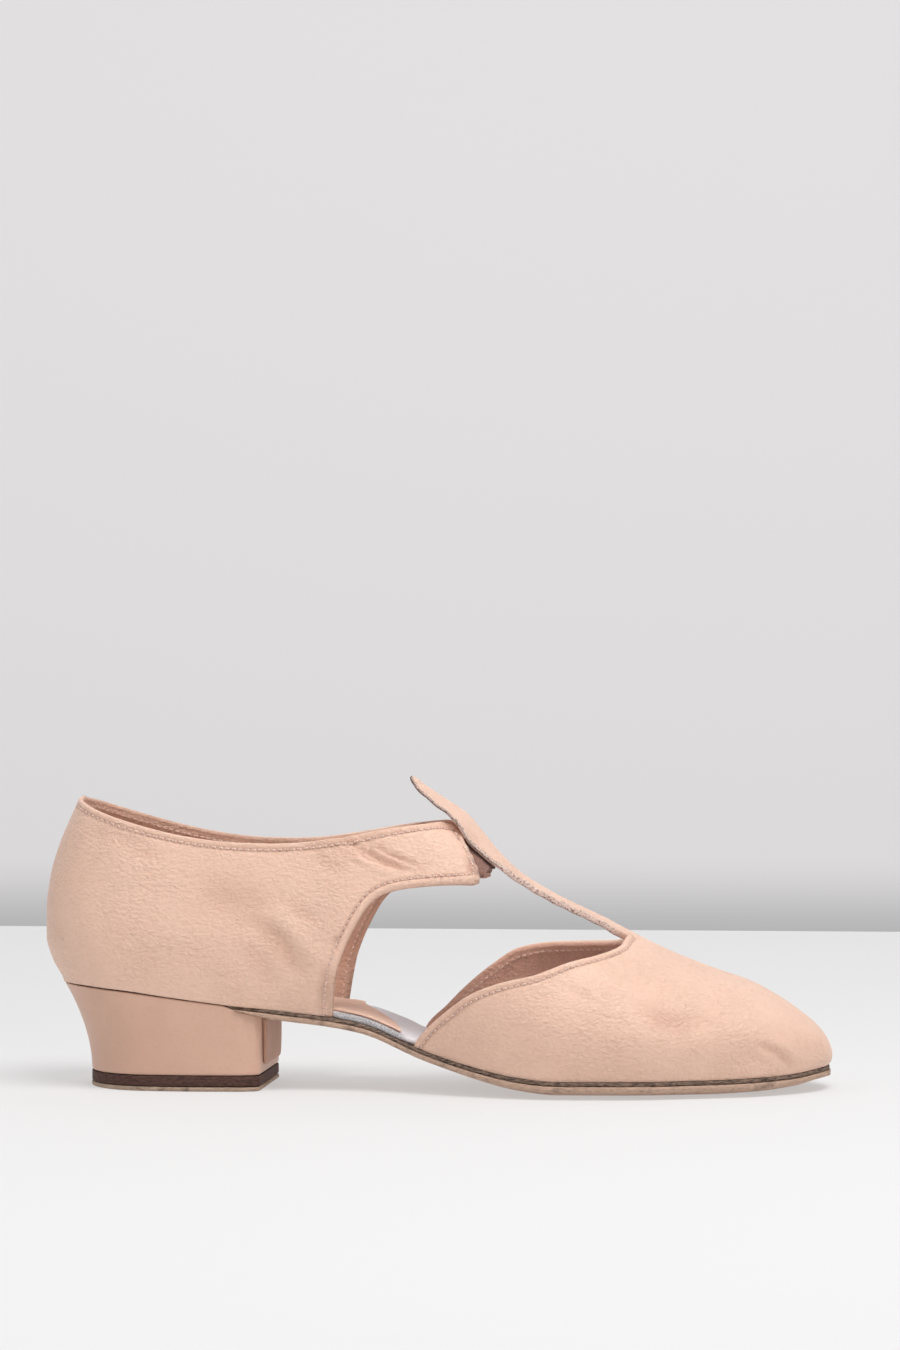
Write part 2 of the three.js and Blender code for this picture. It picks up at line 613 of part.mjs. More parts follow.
const flapSolid = toSolid(flapGeometry);

// Finishes
const peachLeather = { color: '#e9c2a8', roughness: 0.55, metalness: 0 };
const liningLeather = { color: '#d8ad97', roughness: 0.7, metalness: 0 };
const pieces = [
  ['outsole', outsoleSolid, { color: '#c8a88c', roughness: 0.8, metalness: 0 }],
  ['midsole', midsoleSolid, { color: '#3b2a24', roughness: 0.8, metalness: 0 }],
  ['insole', insoleSolid, { color: '#e2dde2', roughness: 0.7, metalness: 0 }],
  ['heel_sock', sockSolid, { color: '#e3bba4', roughness: 0.65, metalness: 0 }],
  ['vamp', vampSolid, peachLeather],
  ['quarter', quarterSolid, peachLeather],
  ['elastic', elasticSolid, { color: '#b98a7c', roughness: 0.85, metalness: 0 }],
  ['tab_keeper', keeperSolid, liningLeather],
  ['heel_block', heelSolid, { color: '#d6ab94', roughness: 0.5, metalness: 0 }],
  ['heel_breast_flap', flapSolid, { color: '#a98577', roughness: 0.6, metalness: 0 }],
  ['heel_lift', liftSolid, { color: '#4a2b24', roughness: 0.6, metalness: 0 }],
  ['heel_tip', heelTipSolid, { color: '#b99a80', roughness: 0.85, metalness: 0 }],
];

const group = new THREE.Group();
for (const [name, piece, finish] of pieces) {
  const made = piece.getMesh();
  const geometry = new THREE.BufferGeometry();
  geometry.setAttribute('position', new THREE.Float32BufferAttribute(made.vertProperties, 3));
  geometry.setIndex(Array.from(made.triVerts));
  geometry.computeVertexNormals();
  const mesh = new THREE.Mesh(geometry, new THREE.MeshStandardMaterial(finish));
  mesh.name = name;
  group.add(mesh);
}

// The origin is under the middle of the shoe's box.
const box = new THREE.Box3().setFromObject(group);
group.position.set(-(box.min.x + box.max.x) / 2, -(box.min.y + box.max.y) / 2, -box.min.z);

export default group;
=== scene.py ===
import bmesh
import bpy
import numpy as np
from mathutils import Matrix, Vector


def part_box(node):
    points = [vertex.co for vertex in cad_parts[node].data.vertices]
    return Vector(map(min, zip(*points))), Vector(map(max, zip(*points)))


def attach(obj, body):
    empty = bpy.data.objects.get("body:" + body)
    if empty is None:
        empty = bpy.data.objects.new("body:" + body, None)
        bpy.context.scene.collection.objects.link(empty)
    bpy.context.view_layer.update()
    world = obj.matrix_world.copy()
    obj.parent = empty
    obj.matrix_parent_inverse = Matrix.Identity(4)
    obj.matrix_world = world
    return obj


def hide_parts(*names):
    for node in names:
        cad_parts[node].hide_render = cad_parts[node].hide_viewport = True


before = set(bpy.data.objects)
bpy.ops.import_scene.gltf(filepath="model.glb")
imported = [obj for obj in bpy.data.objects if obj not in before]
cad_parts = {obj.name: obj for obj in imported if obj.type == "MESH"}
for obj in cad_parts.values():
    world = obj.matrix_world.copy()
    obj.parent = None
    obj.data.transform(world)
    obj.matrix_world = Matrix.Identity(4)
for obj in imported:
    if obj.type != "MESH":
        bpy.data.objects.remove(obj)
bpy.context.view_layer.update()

# VAMP. The forepart of a right-foot dance sandal: one piece of thin, soft peach leather with a leather
# lining, wiped over the last and caught under the edge of the insole. Its throat edge is turned and stitched.

# Sizes in millimetres. X runs from the back of the heel to the toe, Y to the inner side, Z up from the floor.
sole_length = 251.3
ball_width = 78
heel_height = 32
toe_spring = 4.2
tread_dish = 2.6
back_height = 58.4
instep_rise = 72
toe_overhang = 1.7
heel_round_length = 30
heel_round_power = 2.1
toe_round_length = 70
toe_round_power = 2.2
toe_box_length = 30
toe_box_power = 2.0
upper_wall = 2.0
seam_offset = 2.4
turned_edge_radius = 0.8
lining_edge = 0.35
seam_width = 0.42
raw_edge = 0.22
far_from_edge = 9.0
seam_gap = 0.3
outsole_thickness = 1.5
midsole_thickness = 1.0
heel_breast = 72.5

# The shoe's sizes are moved to the frame by the place of the flap on the heel's front face.
flap_low, flap_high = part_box("heel_breast_flap")
to_frame = np.array([flap_low.x * 1000 - heel_breast - seam_gap, (flap_low.y + flap_high.y) * 500, 0])


def rows(names, *values):
    """A table: one dictionary of named sizes for each row."""
    return [dict(zip(names.split(), row)) for row in values]


def column(table, key, row="at"):
    """A smooth curve through one column of a table that never swings past its rows."""
    places = np.array([entry[row] for entry in table], float)
    values = np.array([entry[key] for entry in table], float)
    steps = np.diff(values) / np.diff(places)
    slopes = np.zeros(len(table))
    same_way = steps[:-1] * steps[1:] > 0
    total = np.where(same_way, steps[:-1] + steps[1:], 1)
    slopes[1:-1] = np.where(same_way, 2 * steps[:-1] * steps[1:] / total, 0)

    def curve(place):
        place = np.clip(place, places[0], places[-1])
        k = np.clip(np.searchsorted(places, place, side="right") - 1, 0, len(table) - 2)
        width = places[k + 1] - places[k]
        t = (place - places[k]) / width
        start = (1 + 2 * t) * (1 - t) ** 2 * values[k] + t * (1 - t) ** 2 * width * slopes[k]
        return start + t * t * (3 - 2 * t) * values[k + 1] - t * t * (1 - t) * width * slopes[k + 1]

    return curve


# Rise of the sole's edge, as shares of the heel's height, of the toe spring and of the tread's dish.
sole_line = rows(
    "at seat spring dish",
    (0.02, 1.0, 0, 0), (0.1, 0.96, 0, 0), (0.17, 0.888, 0, 0), (0.25, 0.803, 0, 0), (0.33, 0.72, 0, 0),
    (0.38, 0.668, 0, 0), (0.42, 0.6, 0, 0.02), (0.45, 0.505, 0, 0.08), (0.48, 0.392, 0, 0.18),
    (0.515, 0.28, 0, 0.35), (0.565, 0.145, 0, 0.68), (0.615, 0.045, 0, 0.9), (0.665, 0, 0, 1),
    (0.84, 0, 0, 1), (0.91, 0, 0.15, 0.85), (0.955, 0, 0.45, 0.55), (1.0, 0, 1, 0.1),
)
# Sections of the last: centre, half widths and swell are shares of the ball width, the crest is a share of
# the instep's rise, the waist a share of the crest, and the last number is the power of the top's curve.
last_sections = rows(
    "at centre outer inner belly crest waist round",
    (0.0, 0, 0.335, 0.335, 0.03, 1.62, 0.17, 1.5), (0.16, 0, 0.345, 0.345, 0.035, 1.58, 0.17, 1.5),
    (0.26, 0, 0.325, 0.315, 0.04, 1.52, 0.18, 1.5), (0.3, 0, 0.305, 0.29, 0.05, 1.47, 0.19, 1.55),
    (0.36, 0, 0.285, 0.255, 0.06, 1.38, 0.2, 1.65), (0.42, 0, 0.285, 0.235, 0.065, 1.25, 0.22, 1.7),
    (0.47, 0, 0.32, 0.24, 0.06, 1.155, 0.26, 1.75), (0.51, 0.003, 0.37, 0.265, 0.05, 1.105, 0.28, 1.8),
    (0.54, 0.006, 0.41, 0.295, 0.048, 1.065, 0.29, 1.8), (0.56, 0.008, 0.44, 0.32, 0.047, 1.005, 0.29, 1.8),
    (0.58, 0.011, 0.465, 0.345, 0.046, 0.935, 0.3, 1.8), (0.61, 0.015, 0.495, 0.37, 0.045, 0.855, 0.31, 1.8),
    (0.66, 0.03, 0.53, 0.415, 0.045, 0.765, 0.31, 1.75), (0.72, 0.045, 0.54, 0.44, 0.045, 0.665, 0.31, 1.75),
    (0.78, 0.06, 0.535, 0.435, 0.043, 0.555, 0.33, 1.8), (0.84, 0.075, 0.51, 0.43, 0.04, 0.467, 0.36, 1.9),
    (0.9, 0.087, 0.505, 0.425, 0.035, 0.395, 0.4, 2.0), (1.0, 0.1, 0.48, 0.4, 0.03, 0.315, 0.45, 2.1),
)
# Back curve of the counter: rise of the back height, inset of the sole's length.
counter_curve = rows(
    "rise inset",
    (-0.2, 0.028), (0.0, 0.0235), (0.11, 0.0095), (0.24, 0.001), (0.38, 0.001), (0.57, 0.006),
    (0.75, 0.018), (0.9, 0.033), (1.0, 0.044), (2.0, 0.17),
)
# Throat edge of the vamp seen from the side, of the instep's rise, on the outer and on the inner side.
throat_line = rows(
    "at outer inner",
    (0.462, -0.1, 0.0), (0.4825, 0.2, 0.25), (0.505, 0.3, 0.33), (0.53, 0.377, 0.42), (0.56, 0.453, 0.51),
    (0.6, 0.508, 0.597), (0.64, 0.54, 0.622), (0.68, 0.59, 0.628), (0.72, 0.622, 0.634),
    (0.741, 0.65, 0.652), (0.747, 0.68, 0.68),
)

sole_seat = column(sole_line, "seat")
sole_spring = column(sole_line, "spring")
sole_dish = column(sole_line, "dish")
last = {key: column(last_sections, key) for key in list(last_sections[0])[1:]}
counter_inset = column(counter_curve, "inset", "rise")
flat_share = 0.5
midsole_rise = outsole_thickness + seam_gap
feather_rise = midsole_rise + midsole_thickness + seam_gap


def tread_height(x, across):
    """Height of the outsole's underside, across running from -1 at the outer edge to 1 at the inner edge."""
    at = x / sole_length
    curl = np.maximum(0, (np.abs(across) - flat_share) / (1 - flat_share)) ** 2
    shank = sole_seat(at) * (heel_height - outsole_thickness)
    return shank + sole_spring(at) * toe_spring + sole_dish(at) * tread_dish * curl


def feather_height(at):
    return tread_height(at * sole_length, 1) + feather_rise


def round_end(distance, length, power):
    t = np.clip(distance / length, 0, 1)
    return (1 - (1 - t) ** power) ** (1 / power)


# Share of the turn under the belly, the power of the curve there, and how far along the end curves reach.
under_belly = 0.2
below_power = 1.8
counter_reach = 0.3
toe_reach = 0.08


def section_sizes(at, inset=0.0):
    """Crest height, waist height and half width factor of the last's section."""
    wide = round_end(at * sole_length, heel_round_length, heel_round_power)
    wide = wide * round_end((1 - at) * sole_length, toe_round_length, toe_round_power)
    tall = round_end((1 - at) * sole_length, toe_box_length, toe_box_power)
    slope = (last["crest"](at + 0.01) - last["crest"](at - 0.01)) * instep_rise / (0.02 * sole_length)
    crest = (instep_rise * last["crest"](at) - inset * np.hypot(1, slope)) * tall
    return crest, crest * last["waist"](at), wide


def counter_bow(at, rise):
    """How far the back of the upper stands forward of the sole's back end."""
    return counter_inset(rise / back_height) * sole_length * np.maximum(0, 1 - at / counter_reach) ** 2


def last_point(at, turn, inset=0.0):
    """A point of the upper: turn is -1 at the outer feather edge, 0 at the crest, 1 at the inner edge."""
    at, turn, inset = np.broadcast_arrays(*(np.asarray(value, float) for value in (at, turn, inset)))
    side = np.where(turn < 0, -1.0, 1.0)
    up = 1 - np.abs(turn)
    crest, waist, wide = section_sizes(at, inset)
    foot = ball_width * np.where(side < 0, last["outer"](at), last["inner"](at)) - inset
    swell = ball_width * last["belly"](at)
    t = np.clip(up / under_belly, 0, 1)
    angle = np.clip((up - under_belly) / (1 - under_belly), 0, 1) * np.pi / 2
    power = 2 / last["round"](at)
    below = up < under_belly
    rise = np.where(below, waist * t, waist + (crest - waist) * np.sin(angle) ** power)
    y_below = foot + swell * (1 - (1 - t) ** below_power)
    y = np.where(below, y_below, (foot + swell) * np.maximum(0, np.cos(angle)) ** power)
    front = toe_overhang * (1 - np.exp(-rise / toe_overhang)) * np.maximum(0, 1 - (1 - at) / toe_reach)
    base = inset + at * (sole_length - 2 * inset)
    z = tread_height(base, 1) + feather_rise + rise
    x = base + counter_bow(at, rise) + front
    return np.stack([x, last["centre"](at) * ball_width + side * y * wide, z], axis=-1)


def place_on_last(x, z):
    """Station and turn (outer side, -1 to 0) of a place seen from the side."""
    at = np.clip(np.asarray(x, float) / sole_length, 0, 1)
    for _ in range(15):
        rise = np.maximum(z - feather_height(at), 0)
        at = np.clip((x - counter_bow(at, rise)) / sole_length, 0, 1)
    return at, turn_at_height(at, z)


def turn_at_height(at, z):
    crest, waist, _ = section_sizes(at)
    rise = np.clip(z - feather_height(at), 0, crest)
    low = np.clip(rise / np.maximum(waist, 1e-6), 0, 1) * under_belly
    share = np.clip((rise - waist) / np.maximum(crest - waist, 1e-6), 0, 1)
    high = under_belly + (1 - under_belly) * np.arcsin(share ** (last["round"](at) / 2)) / (np.pi / 2)
    return np.where(rise < waist, low, high) - 1


def edge_distance(points, edge):
    """Distance in millimetres of every point from a line of points."""
    flat = points.reshape(-1, 3)
    nearest = np.full(len(flat), 1e9)
    for start, end in zip(edge[:-1], edge[1:]):
        along = end - start
        share = np.clip(((flat - start) @ along) / max(along @ along, 1e-9), 0, 1)
        gap = np.linalg.norm(flat - start - share[:, None] * along, axis=1)
        nearest = np.minimum(nearest, gap)
    return nearest.reshape(points.shape[:-1])


def rolled(distance, wall, radius):
    """How far a sheet's face sinks towards the middle of its wall near a rounded edge."""
    left = np.clip(1 - distance / radius, 0, 1)
    return wall / 2 * (1 - np.sqrt(1 - left ** 2))


def crease(points, path, width, depth):
    """A soft trough, or a ridge if depth is negative, along a path seen from the side; fades at its ends."""
    flat = points[..., [0, 2]]
    path = np.array(path, float)
    lengths = np.linalg.norm(np.diff(path, axis=0), axis=1)
    run = np.concatenate([[0], np.cumsum(lengths)])
    amount = np.zeros(flat.shape[:-1])
    for k in range(len(path) - 1):
        along = path[k + 1] - path[k]
        share = np.clip(((flat - path[k]) @ along) / (along @ along), 0, 1)
        gap = np.linalg.norm(flat - path[k] - share[..., None] * along, axis=-1)
        place = (run[k] + share * lengths[k]) / run[-1]
        fade = np.clip(np.sin(np.pi * np.clip(place, 0.02, 0.98)), 0, 1) ** 0.7
        amount = np.maximum(amount, np.exp(-(gap / width) ** 2) * fade)
    return depth * amount


def mesh_of(name, points, edges, faces):
    """A mesh from points in the shoe's own millimetres."""
    mesh = bpy.data.meshes.new(name)
    mesh.from_pydata(((points + to_frame) / 1000).tolist(), edges, faces)
    return mesh


def placed(name, data):
    """A new object in the scene."""
    made = bpy.data.objects.new(name, data)
    bpy.context.scene.collection.objects.link(made)
    return made


def sheet(name, outer, inner, gap=None, raw=0.0):
    """A closed sheet from two grids of points in millimetres. Its vertices keep how much they belong to the
    lining, from their distance in millimetres to the sheet's free edge, and how raw that edge is cut."""
    count_u, count_v = outer.shape[:2]
    points = np.concatenate([outer.reshape(-1, 3), inner.reshape(-1, 3)])
    half = count_u * count_v
    index = np.arange(half).reshape(count_u, count_v)
    a, b, c, d = index[:-1, :-1], index[1:, :-1], index[1:, 1:], index[:-1, 1:]
    top = np.stack([a, b, c, d], axis=-1).reshape(-1, 4)
    faces = [tuple(map(int, face)) for face in top]
    faces += [tuple(map(int, face[::-1] + half)) for face in top]
    rim = [*index[:, 0], *index[-1, 1:], *index[-2::-1, -1], *index[0, -2:0:-1]]
    rim_faces = []
    for here, ahead in zip(rim, rim[1:] + rim[:1]):
        rim_faces.append((int(ahead), int(here), int(here + half), int(ahead + half)))
    mesh = mesh_of(name, points, [], faces + rim_faces)
    gap = np.full(half, far_from_edge) if gap is None else gap.reshape(-1)
    near = np.clip(1 - gap / lining_edge, 0, 1)
    # How near each vertex lies to the row of stitches; the leather is darkened there as painted shade of the
    # seam's groove.
    line = np.exp(-((gap - seam_offset) / seam_width) ** 2) * (np.max(raw) == 0)
    cut = np.clip(1.6 - gap / raw_edge, 0, 1) * np.broadcast_to(raw, outer.shape[:2]).reshape(-1)
    both_sides = {"lining": (0.5 * near, 1 - 0.5 * near), "seam": (line, 0.6 * line), "raw": (cut, cut)}
    for key, values in both_sides.items():
        stored = mesh.attributes.new(key, "FLOAT", "POINT")
        stored.data.foreach_set("value", np.concatenate(values))
    return finish_mesh(name, mesh)


def finish_mesh(name, mesh):
    """Welds the mesh, turns its faces outward and makes the object."""
    work = bmesh.new()
    work.from_mesh(mesh)
    bmesh.ops.remove_doubles(work, verts=work.verts, dist=4e-6)
    bmesh.ops.dissolve_degenerate(work, edges=work.edges, dist=1e-7)
    bmesh.ops.recalc_face_normals(work, faces=work.faces)
    if work.calc_volume(signed=True) < 0:
        bmesh.ops.reverse_faces(work, faces=work.faces)
    for face in work.faces:
        face.smooth = True
    work.to_mesh(mesh)
    work.free()
    return placed(name, mesh)


def add_values(piece, name, values_at):
    """Stores a number on every vertex, worked out from its place in the shoe's own sizes."""
    count = len(piece.data.vertices)
    places = np.zeros(count * 3)
    piece.data.vertices.foreach_get("co", places)
    places = places.reshape(-1, 3) * 1000 - to_frame
    values = piece.data.attributes.new(name, "FLOAT", "POINT")
    values.data.foreach_set("value", np.asarray(values_at(places), float))


class Value:
    """A socket that takes part in sums written as Python expressions."""

    def __init__(self, finish, socket):
        self.finish = finish
        self.socket = socket

    def maths(self, operation, first, second):
        return self.finish.node("ShaderNodeMath", {"operation": operation}, {0: first, 1: second})

    def __add__(self, other):
        return self.maths("ADD", self, other)

    def __sub__(self, other):
        return self.maths("SUBTRACT", self, other)

    def __rsub__(self, other):
        return self.maths("SUBTRACT", other, self)

    def __mul__(self, other):
        return self.maths("MULTIPLY", self, other)

    def above(self, start, end):
        """0 below start, 1 above end, with a soft step between them."""
        values = {"Value": self, "From Min": start, "From Max": end}
        return self.finish.node("ShaderNodeMapRange", {"interpolation_type": "SMOOTHSTEP"}, values)


class Finish:
    """One procedural material on Object coordinates."""

    def __init__(self, name, **constants):
        self.material = bpy.data.materials.new(name)
        self.material.use_nodes = True
        self.tree = self.material.node_tree
        self.shader = self.tree.nodes["Principled BSDF"]
        for key, value in constants.items():
            self.shader.inputs[key.replace("_", " ")].default_value = value
        self.place = self.node("ShaderNodeTexCoord", {}, {}, "Object")

    def node(self, kind, settings, values, output=0):
        made = self.tree.nodes.new(kind)
        for key, value in settings.items():
            setattr(made, key, value)
        for key, value in values.items():
            if isinstance(value, Value):
                self.tree.links.new(value.socket, made.inputs[key])
            else:
                made.inputs[key].default_value = value
        return Value(self, made.outputs[output])

    def noise(self, scale, detail=3.0, rough=0.55, twist=0.0, place=None):
        values = {"Vector": place or self.place, "Scale": scale, "Detail": detail,
                  "Roughness": rough, "Distortion": twist}
        return self.node("ShaderNodeTexNoise", {}, values)

    def cells(self, scale, place=None):
        values = {"Vector": place or self.place, "Scale": scale}
        return self.node("ShaderNodeTexVoronoi", {"feature": "SMOOTH_F1"}, values)

    def stretched(self, x, y, z):
        settings = {"vector_type": "POINT"}
        return self.node("ShaderNodeMapping", settings, {"Vector": self.place, "Scale": (x, y, z)})

    def stored(self, name):
        return self.node("ShaderNodeAttribute", {"attribute_name": name}, {}, "Fac")

    def mix(self, share, first, second):
        settings = {"data_type": "RGBA"}
        return self.node("ShaderNodeMix", settings, {0: share, 6: first, 7: second}, 2)

    def done(self, colour, rough, height=None, depth=0.0002, strength=1.0):
        """Wires the varying colour, roughness and relief. depth is the relief's real depth in metres."""
        self.wire(colour, "Base Color")
        self.wire(rough, "Roughness")
        if height is not None:
            values = {"Height": height, "Distance": depth, "Strength": strength}
            bump = self.node("ShaderNodeBump", {}, values)
            self.wire(bump, "Normal")
        return self.material

    def wire(self, value, name):
        if isinstance(value, Value):
            self.tree.links.new(value.socket, self.shader.inputs[name])
        else:
            self.shader.inputs[name].default_value = value


def peach_leather(name, lining):
    """Thin dance leather: pebble grain, tiny wrinkles, soft sheen, painted shade in its grooves, wrinkles,
    folds and seams. Its lining has a colour of its own, and where it is cut raw its edge is tan and furry."""
    skin = Finish(name, Specular_IOR_Level=0.45, Subsurface_Weight=0.05, Subsurface_Scale=0.0015,
                  Sheen_Weight=0.1, Sheen_Roughness=0.5)
    skin.shader.inputs["Subsurface Radius"].default_value = (1.0, 0.5, 0.35)
    skin.shader.inputs["Sheen Tint"].default_value = (1.0, 0.9, 0.84, 1)
    bend = {0: skin.noise(420.0, 3.0), 1: (0.0016, 0.0016, 0.0016), 2: skin.stretched(0.9, 1.0, 1.25)}
    bent = skin.node("ShaderNodeVectorMath", {"operation": "MULTIPLY_ADD"}, bend)
    pebble = skin.cells(880.0, bent)
    fine = skin.noise(2600.0, 2.0)
    furrow = skin.noise(760.0, 1.0, 0.5, 0.3, skin.stretched(0.55, 0.8, 1.4)) - 0.5
    wrinkle = (furrow * furrow).above(0.0, 0.004)
    broad = skin.noise(26.0, 3.0)
    zone = skin.noise(48.0, 2.0).above(0.40, 0.62)
    creased = skin.stored("fold")
    relief = (1.0 - pebble) * 0.42 + fine * 0.10
    relief = relief * (zone * 0.4 + 0.8) + wrinkle * (zone * 0.06 + creased * 0.08 + 0.06)
    base = skin.mix(broad.above(0.35, 0.65), (0.895, 0.615, 0.480, 1), (0.865, 0.580, 0.448, 1))
    # Darker in the grooves between the pebbles: painted shade.
    base = skin.mix(pebble.above(0.3, 0.8) * 0.16, base, (0.700, 0.395, 0.275, 1))
    # Darker along the furrows of the wrinkles: painted shade.
    base = skin.mix((1.0 - wrinkle) * (zone * 0.08 + 0.07), base, (0.640, 0.345, 0.235, 1))
    # Darker in the folds: painted shade.
    base = skin.mix(creased * 0.3, base, (0.600, 0.305, 0.205, 1))
    # Darker along the row of stitches, where the leather dips into the seam: painted shade.
    base = skin.mix(skin.stored("seam") * 0.75, base, (0.430, 0.215, 0.150, 1))
    gloss = pebble * 0.14 - wrinkle * 0.06 + 0.47
    inside = skin.stored("lining").above(0.35, 0.65)
    fibre = skin.noise(1700.0, 5.0, 0.7)
    base = skin.mix(inside, base, skin.mix(fibre.above(0.3, 0.7) * 0.3, lining, (0.30, 0.16, 0.11, 1)))
    raw = skin.stored("raw")
    cut = skin.mix(fibre.above(0.50, 0.64), (1.0, 0.77, 0.67, 1), (0.34, 0.18, 0.135, 1))
    base = skin.mix(raw, base, cut)
    return skin.done(base, gloss + inside * 0.14 + raw * 0.2, relief + raw * fibre * 0.8, 0.0008)


# The vamp's grid runs in rows from its throat edge to the toe, and round from feather edge to feather edge.
strap_turn = 0.105
throat_end = 0.747
turns_side = np.linspace(1, strap_turn, 58)
strap_shares = np.array([1, 0.992, 0.978, 0.955, 0.92, 0.86, 0.76, 0.62, 0.45, 0.23])
strap_shares = np.concatenate([strap_shares, [0], -strap_shares[::-1]])
turns_strap = strap_turn * strap_shares
vamp_turns = np.concatenate([-turns_side, -turns_strap[1:-1], turns_side[::-1]])
throat_stations = np.linspace(throat_line[0]["at"], throat_end, 400)


def throat_at(side_key):
    """Station of the throat edge for every turn of one side."""
    rise = column(throat_line, side_key)(throat_stations) * instep_rise
    at, turn = place_on_last(throat_stations * sole_length, rise)
    inside = rise > feather_height(at)
    return np.interp(np.abs(vamp_turns), np.abs(turn[inside])[::-1], at[inside][::-1])


vamp_edge_at = np.where(vamp_turns < 0, throat_at("outer"), throat_at("inner"))
vamp_edge_at = np.where(np.abs(vamp_turns) <= strap_turn, throat_end, vamp_edge_at)
near_rows = [
    0, 0.0008, 0.0018, 0.003, 0.0046, 0.0066, 0.009, 0.012, 0.0155, 0.0195, 0.024, 0.029, 0.035, 0.043,
]
vamp_shares = np.concatenate([near_rows, 0.053 + 0.947 * np.linspace(0, 1, 110)])
vamp_run = 1 - (1 - vamp_shares) ** 1.7
vamp_at = vamp_edge_at[:, None] + (1 - vamp_edge_at[:, None]) * vamp_run[None, :]
vamp_turn = np.repeat(vamp_turns[:, None], len(vamp_shares), axis=1)
vamp_skin = last_point(vamp_at, vamp_turn)
outer_throat = last_point(vamp_edge_at, vamp_turns)[vamp_turns <= -strap_turn]
inner_throat = last_point(vamp_edge_at, vamp_turns)[vamp_turns >= strap_turn]
vamp_gap = np.minimum(edge_distance(vamp_skin, outer_throat), edge_distance(vamp_skin, inner_throat))
# Creases of the outer side: path seen from the side, half width and depth. A negative depth is a ridge.
vamp_creases = (
    ([(169.9, 36.6), (179.2, 31.1), (186.6, 27.2)], 1.3, 0.53),
    ([(176.0, 33.8), (188.5, 25.8)], 2.2, -0.35),
    ([(190.0, 30.0), (203.0, 24.2), (214.0, 22.0)], 3.2, 0.53),
    ([(196.0, 25.2), (209.0, 20.4)], 2.4, 0.39),
    ([(206.0, 27.6), (219.0, 22.4)], 2.6, 0.35),
    ([(228.5, 17.6), (235.4, 14.0), (240.8, 8.0)], 1.1, 0.73),
    ([(231.5, 18.4), (238.4, 14.2), (243.4, 9.4)], 1.5, -0.46),
    ([(225.0, 15.0), (232.0, 10.2)], 1.6, 0.28),
    ([(240.4, 20.0), (242.8, 14.0)], 0.9, 0.28),
    ([(243.4, 19.0), (245.4, 12.6)], 0.9, 0.35),
    ([(246.2, 17.6), (247.9, 11.6)], 0.8, 0.35),
    ([(248.6, 16.6), (249.8, 10.8)], 0.7, 0.28),
)


def folds(points, creases):
    """Sum of the creases on the outer side of the shoe."""
    total = sum(crease(points, *one) for one in creases)
    return np.where(points[..., 1] < 0, total, 0)


def seam_trough(distance):
    """The leather dips under a row of stitches and swells beside it, towards the edge."""
    width = 0.6
    depth = 0.34
    dip = depth * np.exp(-((distance - seam_offset) / width) ** 2)
    swell = 0.4 * depth * np.exp(-((distance - seam_offset * 0.45) / (1.4 * width)) ** 2)
    return dip - swell


vamp_dip = folds(vamp_skin, vamp_creases) + seam_trough(vamp_gap)
vamp_free = np.clip(vamp_gap / 3, 0, 1) * np.clip((1 - np.abs(vamp_turn)) / 0.05, 0, 1)
vamp_round = rolled(vamp_gap, upper_wall, turned_edge_radius)
vamp_outer = last_point(vamp_at, vamp_turn, vamp_round + vamp_dip)
inner_wave = 0.25 * np.sin(vamp_at * 210 + 6 * vamp_turn) * np.sin(vamp_turn * 23) * vamp_free
vamp_inner = last_point(vamp_at, vamp_turn, upper_wall - vamp_round + np.clip(vamp_dip, 0, 0.2) + inner_wave)

# STRAP AND TAB. The vamp runs on up the instep as a narrow strap that ends in a leaf-shaped tab, cut raw
# from the same leather and its lining glued back to back, so that a rough tan edge shows all round.
strap_width = 13
strap_thickness = 2.0
tab_width = 31
tab_drop = 3.4
join_start = 0.712
cut_edge_radius = 0.34
skived_share = 0.62
skive_start = 0.52
skive_run = 0.08
strap_flare = 0.9
flare_run = 4
blend_columns = 26
strap_line = rows(
    "at tab strap crown",
    (0.4715, 0.06, 0, 0), (0.4735, 0.26, 0, 0.03), (0.4785, 0.45, 0, 0.12), (0.488, 0.65, 0, 0.25),
    (0.502, 0.84, 0, 0.35), (0.52, 0.96, 0, 0.42), (0.538, 1.0, 0, 0.55), (0.552, 0.96, 0, 0.8),
    (0.566, 0.83, 0, 0.95), (0.58, 0.5, 0.36, 0.7), (0.595, 0.2, 0.73, 0.42), (0.615, 0.05, 0.93, 0.25),
    (0.65, 0, 1.0, 0.2), (0.69, 0, 1.0, 0.2), (0.725, 0, 1.05, 0.24), (0.745, 0, 1.2, 0.3),
    (0.757, 0, 1.4, 0.36),
)
strap = {key: column(strap_line, key) for key in ("tab", "strap", "crown")}
tip_end = 0.4835
tip_start = strap_line[0]["at"]
tip_rows = tip_start + (tip_end - tip_start) * np.linspace(0, 1, 14) ** 2
strap_rows = np.concatenate([tip_rows, np.linspace(tip_end, throat_end, 104)[1:]])
strap_across = -strap_shares[:, None]


def strap_half_width(at):
    half = (strap["tab"](at) * tab_width + strap["strap"](at) * strap_width) / 2
    run_in = np.clip((at - throat_end) * sole_length / flare_run + 1, 0, 1)
    return half + strap_flare * (1 - np.sqrt(1 - run_in ** 2))


def strap_grid(depth):
    """Points of the strap at a depth below its top face, blended into the vamp where they join."""
    at = strap_rows[None, :]
    crest = last_point(strap_rows, 0.0)
    along = np.gradient(crest, axis=0)
    up = np.stack([-along[:, 2], 0 * along[:, 2], along[:, 0]], axis=-1)
    up = up / np.linalg.norm(up, axis=1)[:, None]
    fall = strap["crown"](at) * tab_drop * strap_across ** 2
    points = crest[None] - up[None] * (fall + depth)[..., None]
    points[..., 1] += strap_across * strap_half_width(at)
    join = np.clip((at - join_start) / (throat_end - join_start), 0, 1)
    join = join * join * (3 - 2 * join)
    target = last_point(at, strap_turn * strap_across, depth)
    return points * (1 - join[..., None]) + target * join[..., None]


